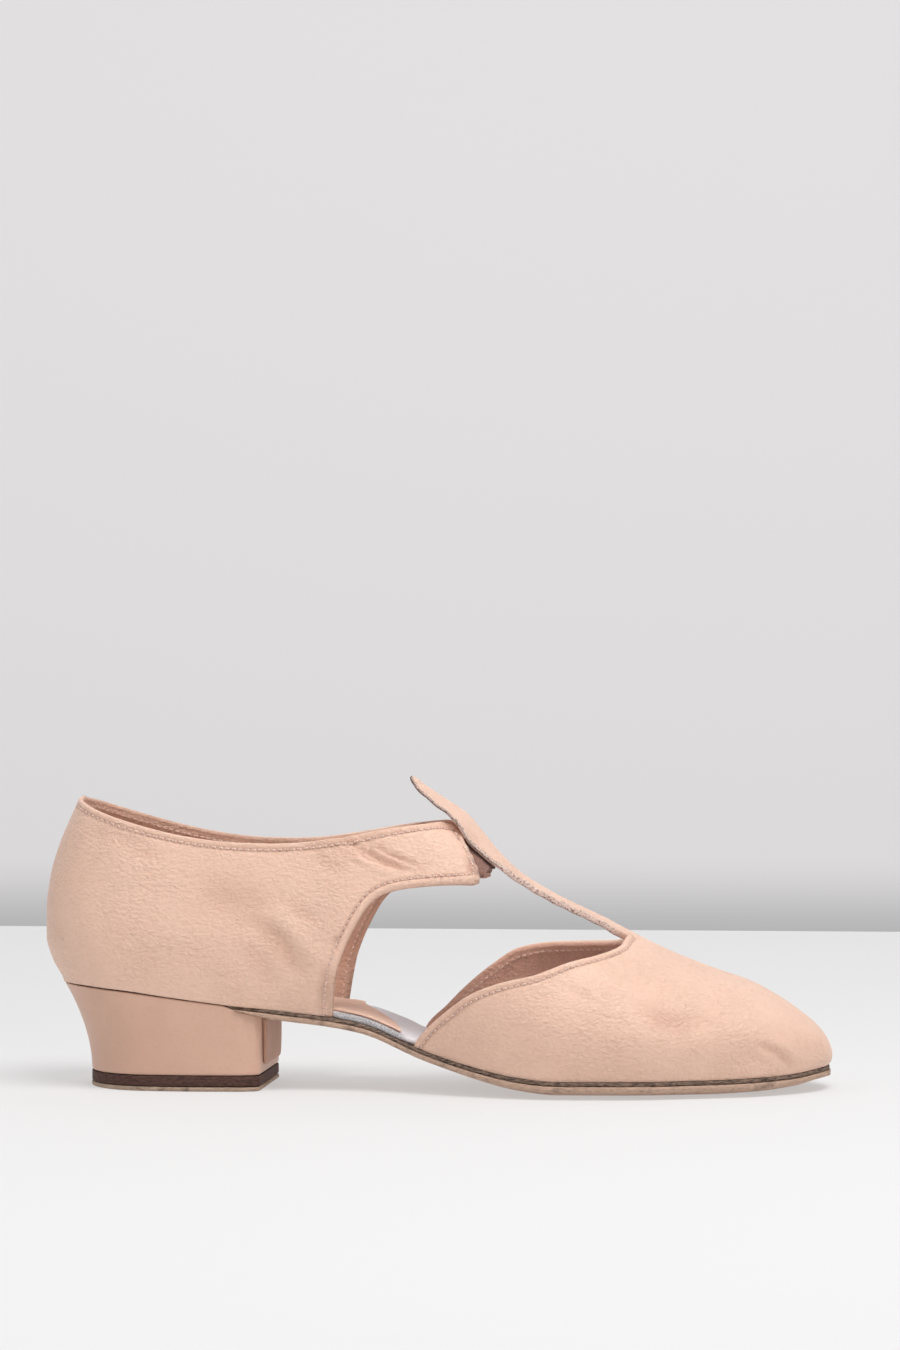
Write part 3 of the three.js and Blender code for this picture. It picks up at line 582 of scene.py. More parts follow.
strap_skin = strap_grid(np.zeros((len(strap_across), len(strap_rows))))
strap_sides = [strap_skin[0], strap_skin[-1], strap_skin[:, 0]]
strap_gap = np.min([edge_distance(strap_skin, side) for side in strap_sides], axis=0)
strap_round = rolled(strap_gap, strap_thickness, cut_edge_radius)
edge_wave = 0.12 * np.sin(strap_rows * 260)[None, :] * np.abs(strap_across) ** 3


def strap_depth(at):
    """Thickness along the strap: the tab is skived thinner than the rest."""
    full = np.clip((at - skive_start) / skive_run, 0, 1)
    return strap_thickness * (skived_share + (1 - skived_share) * full)


strap_outer = strap_grid(strap_round + edge_wave)
strap_inner = strap_grid(strap_depth(strap_rows)[None, :] - strap_round + edge_wave)

# The strap's last row is the vamp's first one there, so that both become one skin.
strap_first = len(turns_side) - 1
strap_slice = slice(strap_first, strap_first + len(turns_strap))
share_in = np.clip(np.arange(len(vamp_shares)) / blend_columns, 0, 1) ** 0.5
for grid, strap_end in ((vamp_outer, strap_outer[:, -1]), (vamp_inner, strap_inner[:, -1])):
    offset = strap_end - grid[strap_slice, 0]
    grid[strap_slice] += offset[:, None, :] * (1 - share_in)[None, :, None]

vamp = sheet("vamp_leather", vamp_outer, vamp_inner, vamp_gap)
before_join = np.clip((throat_end - strap_rows) * sole_length / 5, 0, 1)[None, :]
strap_piece = sheet("strap_and_tab", strap_outer, strap_inner, strap_gap, before_join)
one_skin = bmesh.new()
one_skin.from_mesh(vamp.data)
one_skin.from_mesh(strap_piece.data)
bmesh.ops.remove_doubles(one_skin, verts=one_skin.verts, dist=3e-5)
one_skin.to_mesh(vamp.data)
one_skin.free()
bpy.data.objects.remove(strap_piece)
add_values(vamp, "fold", lambda p: np.clip(folds(p, vamp_creases) / 0.7, 0, 1))
vamp.data.materials.append(peach_leather("vamp_leather", (0.760, 0.450, 0.340, 1)))
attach(vamp, "root")
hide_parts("vamp")

# QUARTER. The back of the upper: one peach leather wall round the heel whose two side bands run forward to
# the instep, lined with leather, its collar, front edges and band ends turned in and stitched.
# Seen from the side, as shares of the sole's length and of the back height over the seat: the collar, the
# end of the side band, and the front edge.
collar_line = rows(
    "at rise",
    (0.0, 1.1), (0.045, 1.01), (0.09, 0.93), (0.174, 0.829), (0.25, 0.78), (0.33, 0.775), (0.395, 0.815),
    (0.46, 0.868), (0.515, 0.892),
)
band_end = rows(
    "rise at",
    (0.580, 0.5645), (0.585, 0.5668), (0.64, 0.5655), (0.69, 0.5595), (0.775, 0.549), (0.845, 0.541),
    (0.882, 0.531), (0.892, 0.515),
)
quarter_front = rows(
    "rise at",
    (-0.35, 0.376), (-0.01, 0.381), (0.17, 0.392), (0.33, 0.409), (0.48, 0.43), (0.536, 0.457),
    (0.558, 0.495), (0.57, 0.53), (0.580, 0.5645),
)


def seat_height(rise):
    return heel_height + seam_gap + midsole_thickness + rise * back_height


def resampled(points, shares):
    """Points at given shares of a line's length."""
    steps = np.linalg.norm(np.diff(points, axis=0), axis=1)
    run = np.concatenate([[0], np.cumsum(steps)])
    run = run / run[-1]
    return np.stack([np.interp(shares, run, points[:, k]) for k in range(points.shape[1])], axis=-1)


def smoothed(points, turns=3):
    """Cuts the corners of a line a little, ends kept."""
    for _ in range(turns):
        early = points[:-1] * 0.75 + points[1:] * 0.25
        late = points[:-1] * 0.25 + points[1:] * 0.75
        middle = np.stack([early, late], axis=1).reshape(-1, points.shape[1])
        points = np.concatenate([points[:1], middle, points[-1:]])
    return points


def side_line(table):
    """A table's rows as points in millimetres, seen from the side."""
    return np.array([(row["at"] * sole_length, seat_height(row["rise"])) for row in table])


def to_station(line):
    """A side view line as (square root of the station, height)."""
    at, _ = place_on_last(line[:, 0], line[:, 1])
    return np.stack([np.sqrt(at), line[:, 1]], axis=-1)


collar = to_station(smoothed(side_line(collar_line)))
off_back = np.argmax(collar[:, 0] > 0)
collar_step = collar[off_back + 1] - collar[off_back]
back_top = collar[off_back, 1] - collar_step[1] / collar_step[0] * collar[off_back, 0]
collar = np.concatenate([[[0.0, back_top]], collar[off_back:]])
front = to_station(smoothed(side_line(quarter_front)))
end_side = to_station(smoothed(side_line(band_end), 1))
front = front[front[:, 1] > feather_height(front[:, 0] ** 2)]
corner = np.array([front[0, 0], feather_height(front[0, 0] ** 2)])
front = np.concatenate([[corner], front])

columns_low = 62
columns_front = 112
seat_q = np.linspace(0, corner[0], columns_low)
seat_row = np.stack([seat_q, feather_height(seat_q ** 2)], axis=-1)
front_shares = np.sort(np.concatenate([np.linspace(0, 1, columns_front), [0.992, 0.997]]))
bottom_row = np.concatenate([seat_row, resampled(front, front_shares)[1:]])
collar_split_at = 0.40
collar_split = np.searchsorted(collar[:, 0], np.sqrt(collar_split_at))
collar_row = np.concatenate([
    resampled(collar[:collar_split + 1], np.linspace(0, 1, columns_low)),
    resampled(collar[collar_split:], front_shares)[1:],
])
up_rows = np.concatenate([
    [0, 0.012, 0.027, 0.045, 0.065, 0.09, 0.12], np.linspace(0.15, 0.86, 60),
    [0.89, 0.915, 0.935, 0.951, 0.963, 0.973, 0.981, 0.988, 0.994, 1],
])
end_shift = resampled(end_side, up_rows) - bottom_row[-1] * (1 - up_rows[:, None])
end_shift = end_shift - collar_row[-1] * up_rows[:, None]
pull_from = 0.8
end_pull = np.linspace(0, 1, len(bottom_row)) - pull_from
end_pull = np.clip(end_pull / (1 - pull_from), 0, 1) ** 2
up_share = up_rows[None, :, None]
half_grid = bottom_row[:, None] * (1 - up_share) + collar_row[:, None] * up_share
half_grid = half_grid + end_pull[:, None, None] * end_shift[None]
both_q = np.concatenate([half_grid[::-1], half_grid[1:]])
quarter_side = np.concatenate([-np.ones(len(half_grid)), np.ones(len(half_grid) - 1)])[:, None]
quarter_at = both_q[..., 0] ** 2
quarter_turn = turn_at_height(quarter_at, both_q[..., 1]) * -quarter_side
quarter_turn = np.where(quarter_turn == 0, 1e-6 * quarter_side, quarter_turn)
quarter_skin = last_point(quarter_at, quarter_turn)
front_columns = len(half_grid) - columns_low + 1
quarter_edges = [
    quarter_skin[:, -1], quarter_skin[0], quarter_skin[-1],
    quarter_skin[:front_columns, 0], quarter_skin[-front_columns:, 0],
]
quarter_gap = np.min([edge_distance(quarter_skin, edge) for edge in quarter_edges], axis=0)
quarter_creases = (
    ([(97.0, 79.5), (107.0, 73.6), (118.5, 70.2)], 0.5, 0.6),
    ([(101.0, 82.2), (112.0, 75.6), (125.0, 71.4)], 0.55, 0.55),
    ([(92.0, 76.4), (101.0, 69.6)], 0.5, 0.5),
    ([(105.0, 80.4), (114.0, 75.4)], 0.5, 0.4),
    ([(88.0, 79.4), (95.5, 72.0)], 0.6, 0.4),
    ([(94.5, 83.0), (106.5, 76.0), (118.0, 71.0), (124.0, 69.2)], 1.0, 0.71),
    ([(98.7, 80.2), (110.8, 73.2), (120.7, 69.7)], 0.9, 0.65),
    ([(93.0, 79.0), (104.0, 72.2), (111.0, 69.5)], 1.1, 0.58),
    ([(89.6, 75.0), (98.3, 68.5)], 1.1, 0.51),
    ([(108.3, 79.0), (119.4, 72.7), (127.0, 70.5)], 1.0, 0.44),
    ([(96.0, 77.6), (108.0, 70.8), (114.0, 68.6)], 1.0, -0.41),
    ([(71.9, 56.7), (79.7, 47.6), (87.7, 37.0)], 3.4, 1.27),
    ([(77.5, 58.2), (85.2, 48.8), (91.7, 38.4)], 3.0, -1.02),
    ([(66.3, 50.7), (74.0, 40.3), (79.0, 33.0)], 2.8, 0.68),
    ([(81.3, 61.7), (90.8, 52.2)], 2.6, 0.59),
    ([(52.0, 64.0), (66.0, 60.5), (80.0, 60.0)], 6.0, 0.77),
    ([(19.7, 83.0), (28.2, 80.6), (38.6, 78.0)], 0.8, 0.44),
    ([(23.4, 79.8), (36.0, 76.4), (48.3, 74.4)], 0.9, 0.41),
    ([(16.2, 82.0), (24.2, 78.6)], 0.8, 0.41),
    ([(28.0, 76.6), (44.0, 72.8)], 0.9, 0.31),
)
quarter_dip = folds(quarter_skin, quarter_creases) + seam_trough(quarter_gap)
tab_back = 128
tab_low = 76
tab_fade = 8
under_tab = np.clip((quarter_skin[..., 0] - tab_back) / tab_fade, 0, 1)
under_tab = under_tab * np.clip((quarter_skin[..., 2] - tab_low) / tab_fade, 0, 1)
from_end = edge_distance(quarter_skin, quarter_skin[0])
pucker_depth = 0.22
puckers = pucker_depth * np.sin(quarter_skin[..., 2] * 1.9) * np.clip(1 - from_end / 7, 0, 1)
quarter_round = rolled(quarter_gap, upper_wall, turned_edge_radius)
quarter_sink = quarter_dip + 1.1 * under_tab + puckers
quarter_outer = last_point(quarter_at, quarter_turn, quarter_round + quarter_sink)
inner_sink = upper_wall - quarter_round + np.clip(quarter_sink, -0.1, 1.2)
quarter_inner = last_point(quarter_at, quarter_turn, inner_sink)
seat_drop = 0.35
seat_end = 75
seat_strip = 0.06
over_seat = np.clip((seat_end - quarter_skin[..., 0]) / 10, 0, 1)
over_seat = over_seat * np.clip((seat_strip - 1 + np.abs(quarter_turn)) / seat_strip, 0, 1)
quarter_outer[..., 2] -= seat_drop * over_seat
quarter_inner[..., 2] -= seat_drop * over_seat
quarter = sheet("quarter_leather", quarter_outer, quarter_inner, quarter_gap)
add_values(quarter, "fold", lambda p: np.clip(folds(p, quarter_creases) / 0.8, 0, 1))
quarter.data.materials.append(peach_leather("quarter_leather", (0.700, 0.440, 0.330, 1)))
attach(quarter, "root")
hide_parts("quarter")

# STITCHES. One row of pinkish thread runs round every turned edge of the upper, 2.1 mm a stitch, each one
# drawn into the leather between two needle holes.
thread = Finish("thread", Specular_IOR_Level=0.3)
twist = thread.noise(4200.0, 2.0)
thread_leather = thread.done(
    thread.mix(twist.above(0.4, 0.6), (0.93, 0.72, 0.63, 1), (0.76, 0.50, 0.41, 1)), 0.7, twist, 0.0001)
# The needle holes are near-black beads: painted shade inside the holes.
hole = Finish("needle_hole_shade", Specular_IOR_Level=0.1)
hole_shade = hole.done(hole.mix(hole.noise(3000.0), (0.060, 0.025, 0.017, 1), (0.130, 0.055, 0.036, 1)), 0.9)

stitching = bpy.data.node_groups.new("stitching", "GeometryNodeTree")
for label, kind in (
    ("Line", "Geometry"), ("Pitch", "Float"), ("Stitch", "Float"), ("Thread", "Float"), ("Hole", "Float"),
    ("Thread Finish", "Material"), ("Hole Finish", "Material"),
):
    stitching.interface.new_socket(label, in_out="INPUT", socket_type="NodeSocket" + kind)
stitching.interface.new_socket("Stitches", in_out="OUTPUT", socket_type="NodeSocketGeometry")


def stitch_node(kind, settings, values):
    """One node of the stitching tree, with its settings and what goes into it."""
    made = stitching.nodes.new(kind)
    for key, value in settings.items():
        setattr(made, key, value)
    for key, value in values.items():
        if isinstance(value, bpy.types.NodeSocket):
            stitching.links.new(value, made.inputs[key])
        else:
            made.inputs[key].default_value = value
    return made.outputs


def stitch_vector(x, y, z):
    return stitch_node("ShaderNodeCombineXYZ", {}, {"X": x, "Y": y, "Z": z})[0]


def stitch_half(length):
    return stitch_node("ShaderNodeMath", {"operation": "MULTIPLY"}, {0: length, 1: 0.5})[0]


given = stitch_node("NodeGroupInput", {}, {})
curve = stitch_node("GeometryNodeMeshToCurve", {}, {"Mesh": given["Line"]})
marks = stitch_node("GeometryNodeCurveToPoints", {"mode": "LENGTH"},
                    {"Curve": curve["Curve"], "Length": given["Pitch"]})
facing = stitch_node("FunctionNodeAlignRotationToVector", {"axis": "Z"}, {"Vector": marks["Tangent"]})
bead = stitch_node("GeometryNodeMeshUVSphere", {}, {"Segments": 8, "Rings": 7, "Radius": 1.0})


def beads(size, shift, finish):
    """A bead of one size at every mark, moved along the line by the shift."""
    made = stitch_node("GeometryNodeInstanceOnPoints", {}, {
        "Points": marks["Points"], "Instance": bead["Mesh"], "Rotation": facing["Rotation"], "Scale": size})
    made = stitch_node("GeometryNodeTranslateInstances", {}, {
        "Instances": made["Instances"], "Translation": shift, "Local Space": True})
    made = stitch_node("GeometryNodeRealizeInstances", {}, {"Geometry": made[0]})
    return stitch_node("GeometryNodeSetMaterial", {}, {"Geometry": made[0], "Material": finish})[0]


thread_size = stitch_vector(given["Thread"], given["Thread"], stitch_half(given["Stitch"]))
hole_size = stitch_vector(given["Hole"], given["Hole"], given["Hole"])
stitches = beads(thread_size, stitch_vector(0, 0, 0), given["Thread Finish"])
holes = beads(hole_size, stitch_vector(0, 0, stitch_half(given["Pitch"])), given["Hole Finish"])
joined = stitch_node("GeometryNodeJoinGeometry", {}, {"Geometry": stitches})
stitching.links.new(holes, joined[0].node.inputs["Geometry"])
stitch_node("NodeGroupOutput", {}, {"Stitches": joined[0]})


def stitched(name, line):
    """Stitches along a line of points in millimetres."""
    steps = [(k, k + 1) for k in range(len(line) - 1)]
    guide = placed(name + "_line", mesh_of(name + "_line", line, steps, []))
    modifier = guide.modifiers.new("stitching", "NODES")
    modifier.node_group = stitching
    sizes = {"Pitch": 0.0021, "Stitch": 0.0015, "Thread": 0.00038, "Hole": 0.00038,
             "Thread Finish": thread_leather, "Hole Finish": hole_shade}
    for item in stitching.interface.items_tree:
        if item.in_out == "INPUT" and item.name in sizes:
            modifier[item.identifier] = sizes[item.name]
    bpy.context.view_layer.update()
    made = bpy.data.meshes.new_from_object(guide.evaluated_get(bpy.context.evaluated_depsgraph_get()))
    bpy.data.objects.remove(guide)
    for face in made.polygons:
        face.use_smooth = True
    piece = placed(name, made)
    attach(piece, "root")


def seam_along(edge, side, skin, sink, wall):
    """The line on the upper where the stitches inside a free edge run. The edge is given as stations and
    turns; the depth of the skin there comes from the nearest vertex of its grid."""
    at, turn = edge
    turn = np.clip(turn, -0.999, 0.999)
    here = last_point(at, turn)
    along = np.gradient(here, axis=0)
    across = last_point(at, turn + 0.002) - last_point(at, turn - 0.002)
    ahead = last_point(at + 0.001, turn) - last_point(at - 0.001, turn)
    normal = np.cross(across, ahead)
    inward = np.cross(normal, along)
    inward = inward / np.linalg.norm(inward, axis=1)[:, None]
    moved = here + side * seam_offset * inward
    moved_at, moved_turn = place_on_last(moved[:, 0], moved[:, 2])
    moved_turn = np.where(turn > 0, -moved_turn, moved_turn)
    line = last_point(moved_at, moved_turn)
    keep = (edge_distance(line, here) > seam_offset * 0.93) & (np.abs(moved_turn) < 0.995)
    flat_skin, flat_sink = skin.reshape(-1, 3), sink.reshape(-1)
    depth = np.array([flat_sink[np.argmin(((flat_skin - p) ** 2).sum(axis=1))] for p in line[keep]])
    return last_point(moved_at[keep], moved_turn[keep], depth + wall)


def even_steps(line, stretch, count):
    """A line drawn again in even steps, its first column counted as long as stretch says."""
    scale = np.array([stretch, 1])
    return resampled(line * scale, np.linspace(0, 1, count)) / scale


def vamp_seam(side_key, wall, sink):
    picked = vamp_turns <= -strap_turn if side_key == "outer" else vamp_turns >= strap_turn
    edge_points = np.stack([vamp_edge_at[picked], vamp_turns[picked]], axis=-1)
    return seam_along(even_steps(edge_points, 4, 240).T, 1, vamp_skin, sink, wall)


vamp_sink = vamp_round + vamp_dip
on_skin = -0.12
on_lining = upper_wall + 0.05
stitched("vamp_stitches_outer", vamp_seam("outer", on_skin, vamp_sink))
stitched("vamp_stitches_inner", vamp_seam("inner", on_skin, vamp_sink))
stitched("vamp_stitches_inside", vamp_seam("inner", on_lining, 0 * vamp_sink))
outline_q = np.concatenate([front, resampled(end_side, np.linspace(0.01, 0.99, 60)), collar[::-1]])
outline_q = even_steps(outline_q, 150, 900)
outline_at = outline_q[:, 0] ** 2
outline_turn = turn_at_height(outline_at, outline_q[:, 1])
for label, side in (("outer", 1), ("inner", -1)):
    edge = (outline_at, outline_turn * side)
    line = seam_along(edge, -side, quarter_skin, quarter_round + quarter_sink, on_skin)
    stitched("quarter_stitches_" + label, line)
    line = seam_along(edge, -side, quarter_skin, 0 * quarter_round, on_lining)
    stitched("quarter_stitches_inside_" + label, line)

# ELASTIC. A ribbed, brownish-pink elastic band joins the two side bands under the tab; its rubber strands
# run along it and show as fine ribs.
elastic_inset = upper_wall + seam_gap
elastic_thickness = 1.1
elastic_rear = 0.545
elastic_front = 0.5805
elastic_width = 8.5
rib_depth = 0.22
rib_count = 9
elastic_end_height = 72.8
elastic_share = np.linspace(0, 1, 45)
elastic_across = np.linspace(-1, 1, 80)[:, None]
elastic_at = elastic_rear + (elastic_front - elastic_rear) * elastic_share[None, :]
elastic_at = elastic_at - 0.009 * np.abs(elastic_across) ** 1.5
elastic_turn = elastic_across * -turn_at_height(elastic_at, elastic_end_height)
elastic_turn = np.where(np.abs(elastic_turn) < 1e-6, 1e-6, elastic_turn)
elastic_edge = np.minimum(elastic_share, 1 - elastic_share)[None, :] * elastic_width + 0 * elastic_at
elastic_ribs = rib_depth * np.abs(np.sin(elastic_share * np.pi * rib_count))[None, :]
elastic_round = rolled(elastic_edge, elastic_thickness, 0.5)
elastic_depth = elastic_inset + 0.7 + 0.9 * np.exp(-(elastic_turn / 0.16) ** 2)
elastic = sheet(
    "elastic_band",
    last_point(elastic_at, elastic_turn, elastic_depth + elastic_round + 0.16 - elastic_ribs),
    last_point(elastic_at, elastic_turn, elastic_depth + elastic_thickness - elastic_round),
)
rubber = Finish("elastic_web", Specular_IOR_Level=0.25, Sheen_Weight=0.25)
weave = rubber.noise(3600.0, 2.0, place=rubber.stretched(1.0, 0.35, 0.35))
rubber_colour = rubber.mix(weave.above(0.35, 0.65), (0.21, 0.095, 0.07, 1), (0.34, 0.175, 0.13, 1))
elastic.data.materials.append(rubber.done(rubber_colour, weave * 0.2 + 0.62, weave, 0.00025))
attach(elastic, "root")
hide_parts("elastic")

# TAB KEEPER. A thin leather loop under the tab that holds the elastic to it. Its front end closes up to the
# underside of the strap, where it is sewn on.
keeper_line = rows(
    "at rise", (0.508, 1.2), (0.519, 1.115), (0.537, 1.035), (0.56, 0.98), (0.58, 0.945), (0.6, 0.915))
keeper_rows = np.linspace(0.513, 0.6, 40)
keeper_half_width = 6.0
keeper_thickness = 1.1
keeper_clear = 0.35
keeper_sewn = 0.25
keeper_drop = 0.85
keeper_height = column(keeper_line, "rise")(keeper_rows) * instep_rise
keeper_crest = last_point(keeper_rows, 0.0)[:, 2]
keeper_height = np.minimum(keeper_height, keeper_crest - strap_thickness - keeper_clear)
keeper_joined = keeper_crest - strap_depth(keeper_rows) - keeper_sewn
keeper_close = np.clip((keeper_rows - 0.562) / 0.025, 0, 1)
keeper_height = keeper_height * (1 - keeper_close) + keeper_joined * keeper_close
keeper_across = np.linspace(-1, 1, 13)[:, None]


def keeper_face(drop):
    x = keeper_rows[None, :] * sole_length + 0 * keeper_across
    y = last["centre"](keeper_rows)[None, :] * ball_width + keeper_half_width * keeper_across
    fall = keeper_drop * keeper_across ** 2
    return np.stack([x, y, keeper_height[None, :] - fall - drop], axis=-1)


keeper_top = keeper_face(0.0)
keeper_gap = np.min([edge_distance(keeper_top, keeper_top[k]) for k in (0, -1)], axis=0)
keeper_round = rolled(keeper_gap, keeper_thickness, 0.5)
keeper = sheet("keeper_loop", keeper_face(keeper_round), keeper_face(keeper_thickness - keeper_round))


def lining_leather(name, pale, dark):
    """Unfinished leather: fine nap, no gloss."""
    nap = Finish(name, Specular_IOR_Level=0.25, Sheen_Weight=0.2)
    fibre = nap.noise(1900.0, 5.0, 0.7)
    cloud = nap.noise(120.0, 3.0)
    colour = nap.mix((fibre * 0.6 + cloud * 0.4).above(0.35, 0.65), pale, dark)
    return nap.done(colour, fibre * 0.15 + 0.68, fibre, 0.0003, 0.7)


keeper.data.materials.append(lining_leather("keeper_leather", (0.42, 0.24, 0.17, 1), (0.30, 0.16, 0.11, 1)))
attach(keeper, "root")
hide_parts("tab_keeper")

# INSOLE. A pale lilac-white board under the foot; the upper's edges are caught under it, and in the open
# waist between quarter and vamp its raw, furry edge comes out to the edge of the sole.


def feather_edge(at, side, edge):
    """A point that stands a given distance outside the feather edge, seen from above."""
    here = last_point(at, side)
    ahead = last_point(np.minimum(1, at + 0.002), side)
    behind = last_point(np.maximum(0, at - 0.002), side)
    along = (ahead - behind)[..., :2]
    along = along / np.maximum(np.linalg.norm(along, axis=-1), 1e-9)[..., None]
    outward = side * np.stack([-along[..., 1], along[..., 0]], axis=-1)
    return here[..., :2] + outward * np.asarray(edge)[..., None]


def layer(name, stations, edge, rise, thickness, rounding, across_rows, rough):
    """A layer of the sole with rounded edges; its edge, rise and thickness may change along the shoe."""
    stations = np.asarray(stations)[:, None]
    edge = np.broadcast_to(edge, len(stations))
    outer = feather_edge(stations[:, 0], -1, edge)
    inner = feather_edge(stations[:, 0], 1, edge)
    share = (across_rows[None, :, None] + 1) / 2
    plan = outer[:, None] * (1 - share) + inner[:, None] * share
    half = np.linalg.norm(inner - outer, axis=1)[:, None] / 2
    ends = np.linalg.norm(plan - plan[-1:, len(across_rows) // 2][None], axis=-1)
    gap = np.minimum((1 - np.abs(across_rows))[None, :] * half, ends)
    rise = np.broadcast_to(rise, len(stations))[:, None]
    thickness = np.broadcast_to(thickness, len(stations))[:, None]
    toe = np.clip((stations - 0.94) / 0.06, 0, 1)
    sink = rolled(gap, thickness, rounding * (1 + 2 * toe))
    # Small waves that fade away from the edge, where it is cut roughly.
    wear = rough * np.sin(plan[..., 0] * 3.1 + plan[..., 1]) * np.sin(plan[..., 0] * 1.27)
    wear = wear * np.exp(-gap / 1.5)
    base = tread_height(plan[..., 0], across_rows[None, :]) + rise
    under = np.concatenate([plan, (base + sink + wear)[..., None]], axis=-1)
    over = np.concatenate([plan, (base + thickness - sink + wear)[..., None]], axis=-1)
    return sheet(name, over, under)


def rounded_rows(count):
    """Rows across the sole, close together at its edges."""
    edge = np.array([1, 0.9995, 0.998, 0.995, 0.99, 0.98, 0.96, 0.93, 0.9])
    middle = np.linspace(0.86, -0.86, count)
    return np.concatenate([-edge, -middle, edge[::-1]])


def toe_eased(start, end, count):
    """Stations that crowd together at the toe, and at the heel where the piece reaches it."""
    t = np.linspace(0, 1, count)
    eased = 1 - (1 - t) ** 1.8 if start > 0.01 else t - 0.9 * np.sin(2 * np.pi * t) / (2 * np.pi)
    return start + (end - start) * eased


def soft_step(value, centre, width):
    """0 well before the centre and 1 well past it, or the other way round if the width is negative."""
    return 1 / (1 + np.exp(-(value - centre) / width))


insole_thickness = 2.0
insole_stations = toe_eased(0.0, 1.0, 190)
waist_in = soft_step(insole_stations, 0.384, 0.0016)
waist_out = soft_step(insole_stations, 0.474, -0.0016)
inside_edge = -upper_wall - seam_gap - 0.1
insole = layer(
    "insole_board", insole_stations, edge=inside_edge * (1 - waist_in * waist_out), rise=feather_rise,
    thickness=insole_thickness, rounding=0.7, across_rows=rounded_rows(25), rough=0.12)
board = Finish("insole_board", Specular_IOR_Level=0.3, Sheen_Weight=0.1)
fur = board.noise(2400.0, 6.0, 0.75)
flock = board.noise(600.0, 4.0, 0.6)
rim = board.stored("rim")
board_colour = board.mix(flock.above(0.35, 0.65), (0.84, 0.80, 0.835, 1), (0.90, 0.87, 0.89, 1))
rim_share = (fur.above(0.42, 0.58) * rim).above(0.1, 0.9)
board_colour = board.mix(rim * 0.5, board_colour, (0.86, 0.85, 0.86, 1))
board_colour = board.mix(rim_share * 0.55, board_colour, (0.30, 0.27, 0.27, 1))
board_relief = fur * (rim * 2.0 + 0.4) + flock * 0.3
insole.data.materials.append(board.done(board_colour, fur * 0.2 + 0.6, board_relief, 0.0004))


def rim_share_at(p):
    at = np.clip(p[:, 0] / sole_length, 0, 1)
    outer = feather_edge(at, -1, 0.0)[:, 1]
    inner = feather_edge(at, 1, 0.0)[:, 1]
    gap = np.minimum(p[:, 1] - outer, inner - p[:, 1])
    return np.clip(1.2 - gap / 1.2, 0, 1)


add_values(insole, "rim", rim_share_at)
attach(insole, "root")
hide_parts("insole")

# HEEL SOCK. A thin peach leather layer glued on the insole under the heel, its front edge cut aslant with a
# round and lifting a little at the waist.
sock_front = rows(
    "side at",
    (-0.6, 0.46), (-0.28, 0.466), (-0.12, 0.458), (0.02, 0.438), (0.14, 0.418), (0.26, 0.405), (0.6, 0.4),
)
sock_thickness = 0.8
sock_back = 0.016
sock_across = rounded_rows(25)
sock_share = np.concatenate([np.linspace(0, 1, 120) * 0.96, 0.96 + 0.04 * np.linspace(0.1, 1, 14)])
sock_share = 1 - (1 - sock_share) ** 1.05
sock_reach = column(sock_front, "at", "side")(sock_across * 0.3)
sock_at = sock_back + (sock_reach[None, :] - sock_back) * sock_share[:, None]
sock_open = soft_step(sock_at, 0.388, 0.003)
sock_edge = (inside_edge - 0.5) * (1 - sock_open) - 1.4 * sock_open
sock_outer = feather_edge(sock_at, -1, sock_edge)
sock_inner = feather_edge(sock_at, 1, sock_edge)
sock_mix = ((sock_across + 1) / 2)[None, :, None]
sock_plan = sock_outer * (1 - sock_mix) + sock_inner * sock_mix
sock_lift = 0.25 * sock_open * np.abs(sock_across[None, :]) ** 4
sock_base = tread_height(sock_plan[..., 0], sock_across[None, :])
sock_base = sock_base + feather_rise + insole_thickness + 0.05 + sock_lift
sock_skin = np.concatenate([sock_plan, sock_base[..., None]], axis=-1)
sock_edges = [sock_skin[-1], sock_skin[:, 0], sock_skin[:, -1]]
sock_gap = np.min([edge_distance(sock_skin, edge) for edge in sock_edges], axis=0)
sock_sink = rolled(sock_gap, sock_thickness, 0.4)[..., None] * np.array([0, 0, 1])
sock_over = sock_skin + np.array([0, 0, sock_thickness]) - sock_sink
heel_sock = sheet("sock_leather", sock_over, sock_skin + sock_sink)
heel_sock.data.materials.append(
    lining_leather("sock_leather", (0.93, 0.64, 0.50, 1), (0.84, 0.55, 0.42, 1)))
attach(heel_sock, "root")
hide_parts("heel_sock")

# MIDSOLE. A thin dark layer of leather and cement between upper and outsole; its rough edge shows as a
# brown-black line all round the shoe.


def layered_edge(name, pale, dark, streak):
    """A cut edge of sole leather: layers that run along it, pores and dark smears."""
    cut = Finish(name, Specular_IOR_Level=0.3)
    fibre = cut.noise(1500.0, 5.0, 0.7, place=cut.stretched(0.35, 0.35, 1.6))
    pore = cut.noise(3200.0, 3.0, 0.6)
    smear = cut.noise(190.0, 4.0, 0.65)
    colour = cut.mix(fibre.above(0.35, 0.65), pale, dark)
    colour = cut.mix(smear.above(0.5, 0.72) * streak, colour, (0.055, 0.038, 0.03, 1))
    relief = fibre * 0.7 + pore * 0.4
    return cut.done(colour, pore * 0.2 + 0.6, relief, 0.00045, 0.8)


midsole_stations = toe_eased(0.0, 1.0, 150)
over_heel = soft_step(midsole_stations * sole_length, 70, -2.5)
midsole = layer(
    "dark_midsole", midsole_stations, edge=0.25 - 1.25 * over_heel, rise=midsole_rise,
    thickness=midsole_thickness + 0.25, rounding=0.35, across_rows=rounded_rows(15), rough=0.12)
midsole.data.materials.append(
    layered_edge("dark_layer", (0.34, 0.235, 0.175, 1), (0.045, 0.030, 0.024, 1), 0.4))
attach(midsole, "root")
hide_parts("midsole")

# OUTSOLE. A thin tan leather sole over the forepart and the shank, suede underneath, its edge cut raw; its
# back end is lapped under the heel.
outsole_from = (heel_breast - 8) / sole_length
full_share = 1.14
lap_share = 0.12
lap_run = 13
outsole_edge = full_share * outsole_thickness


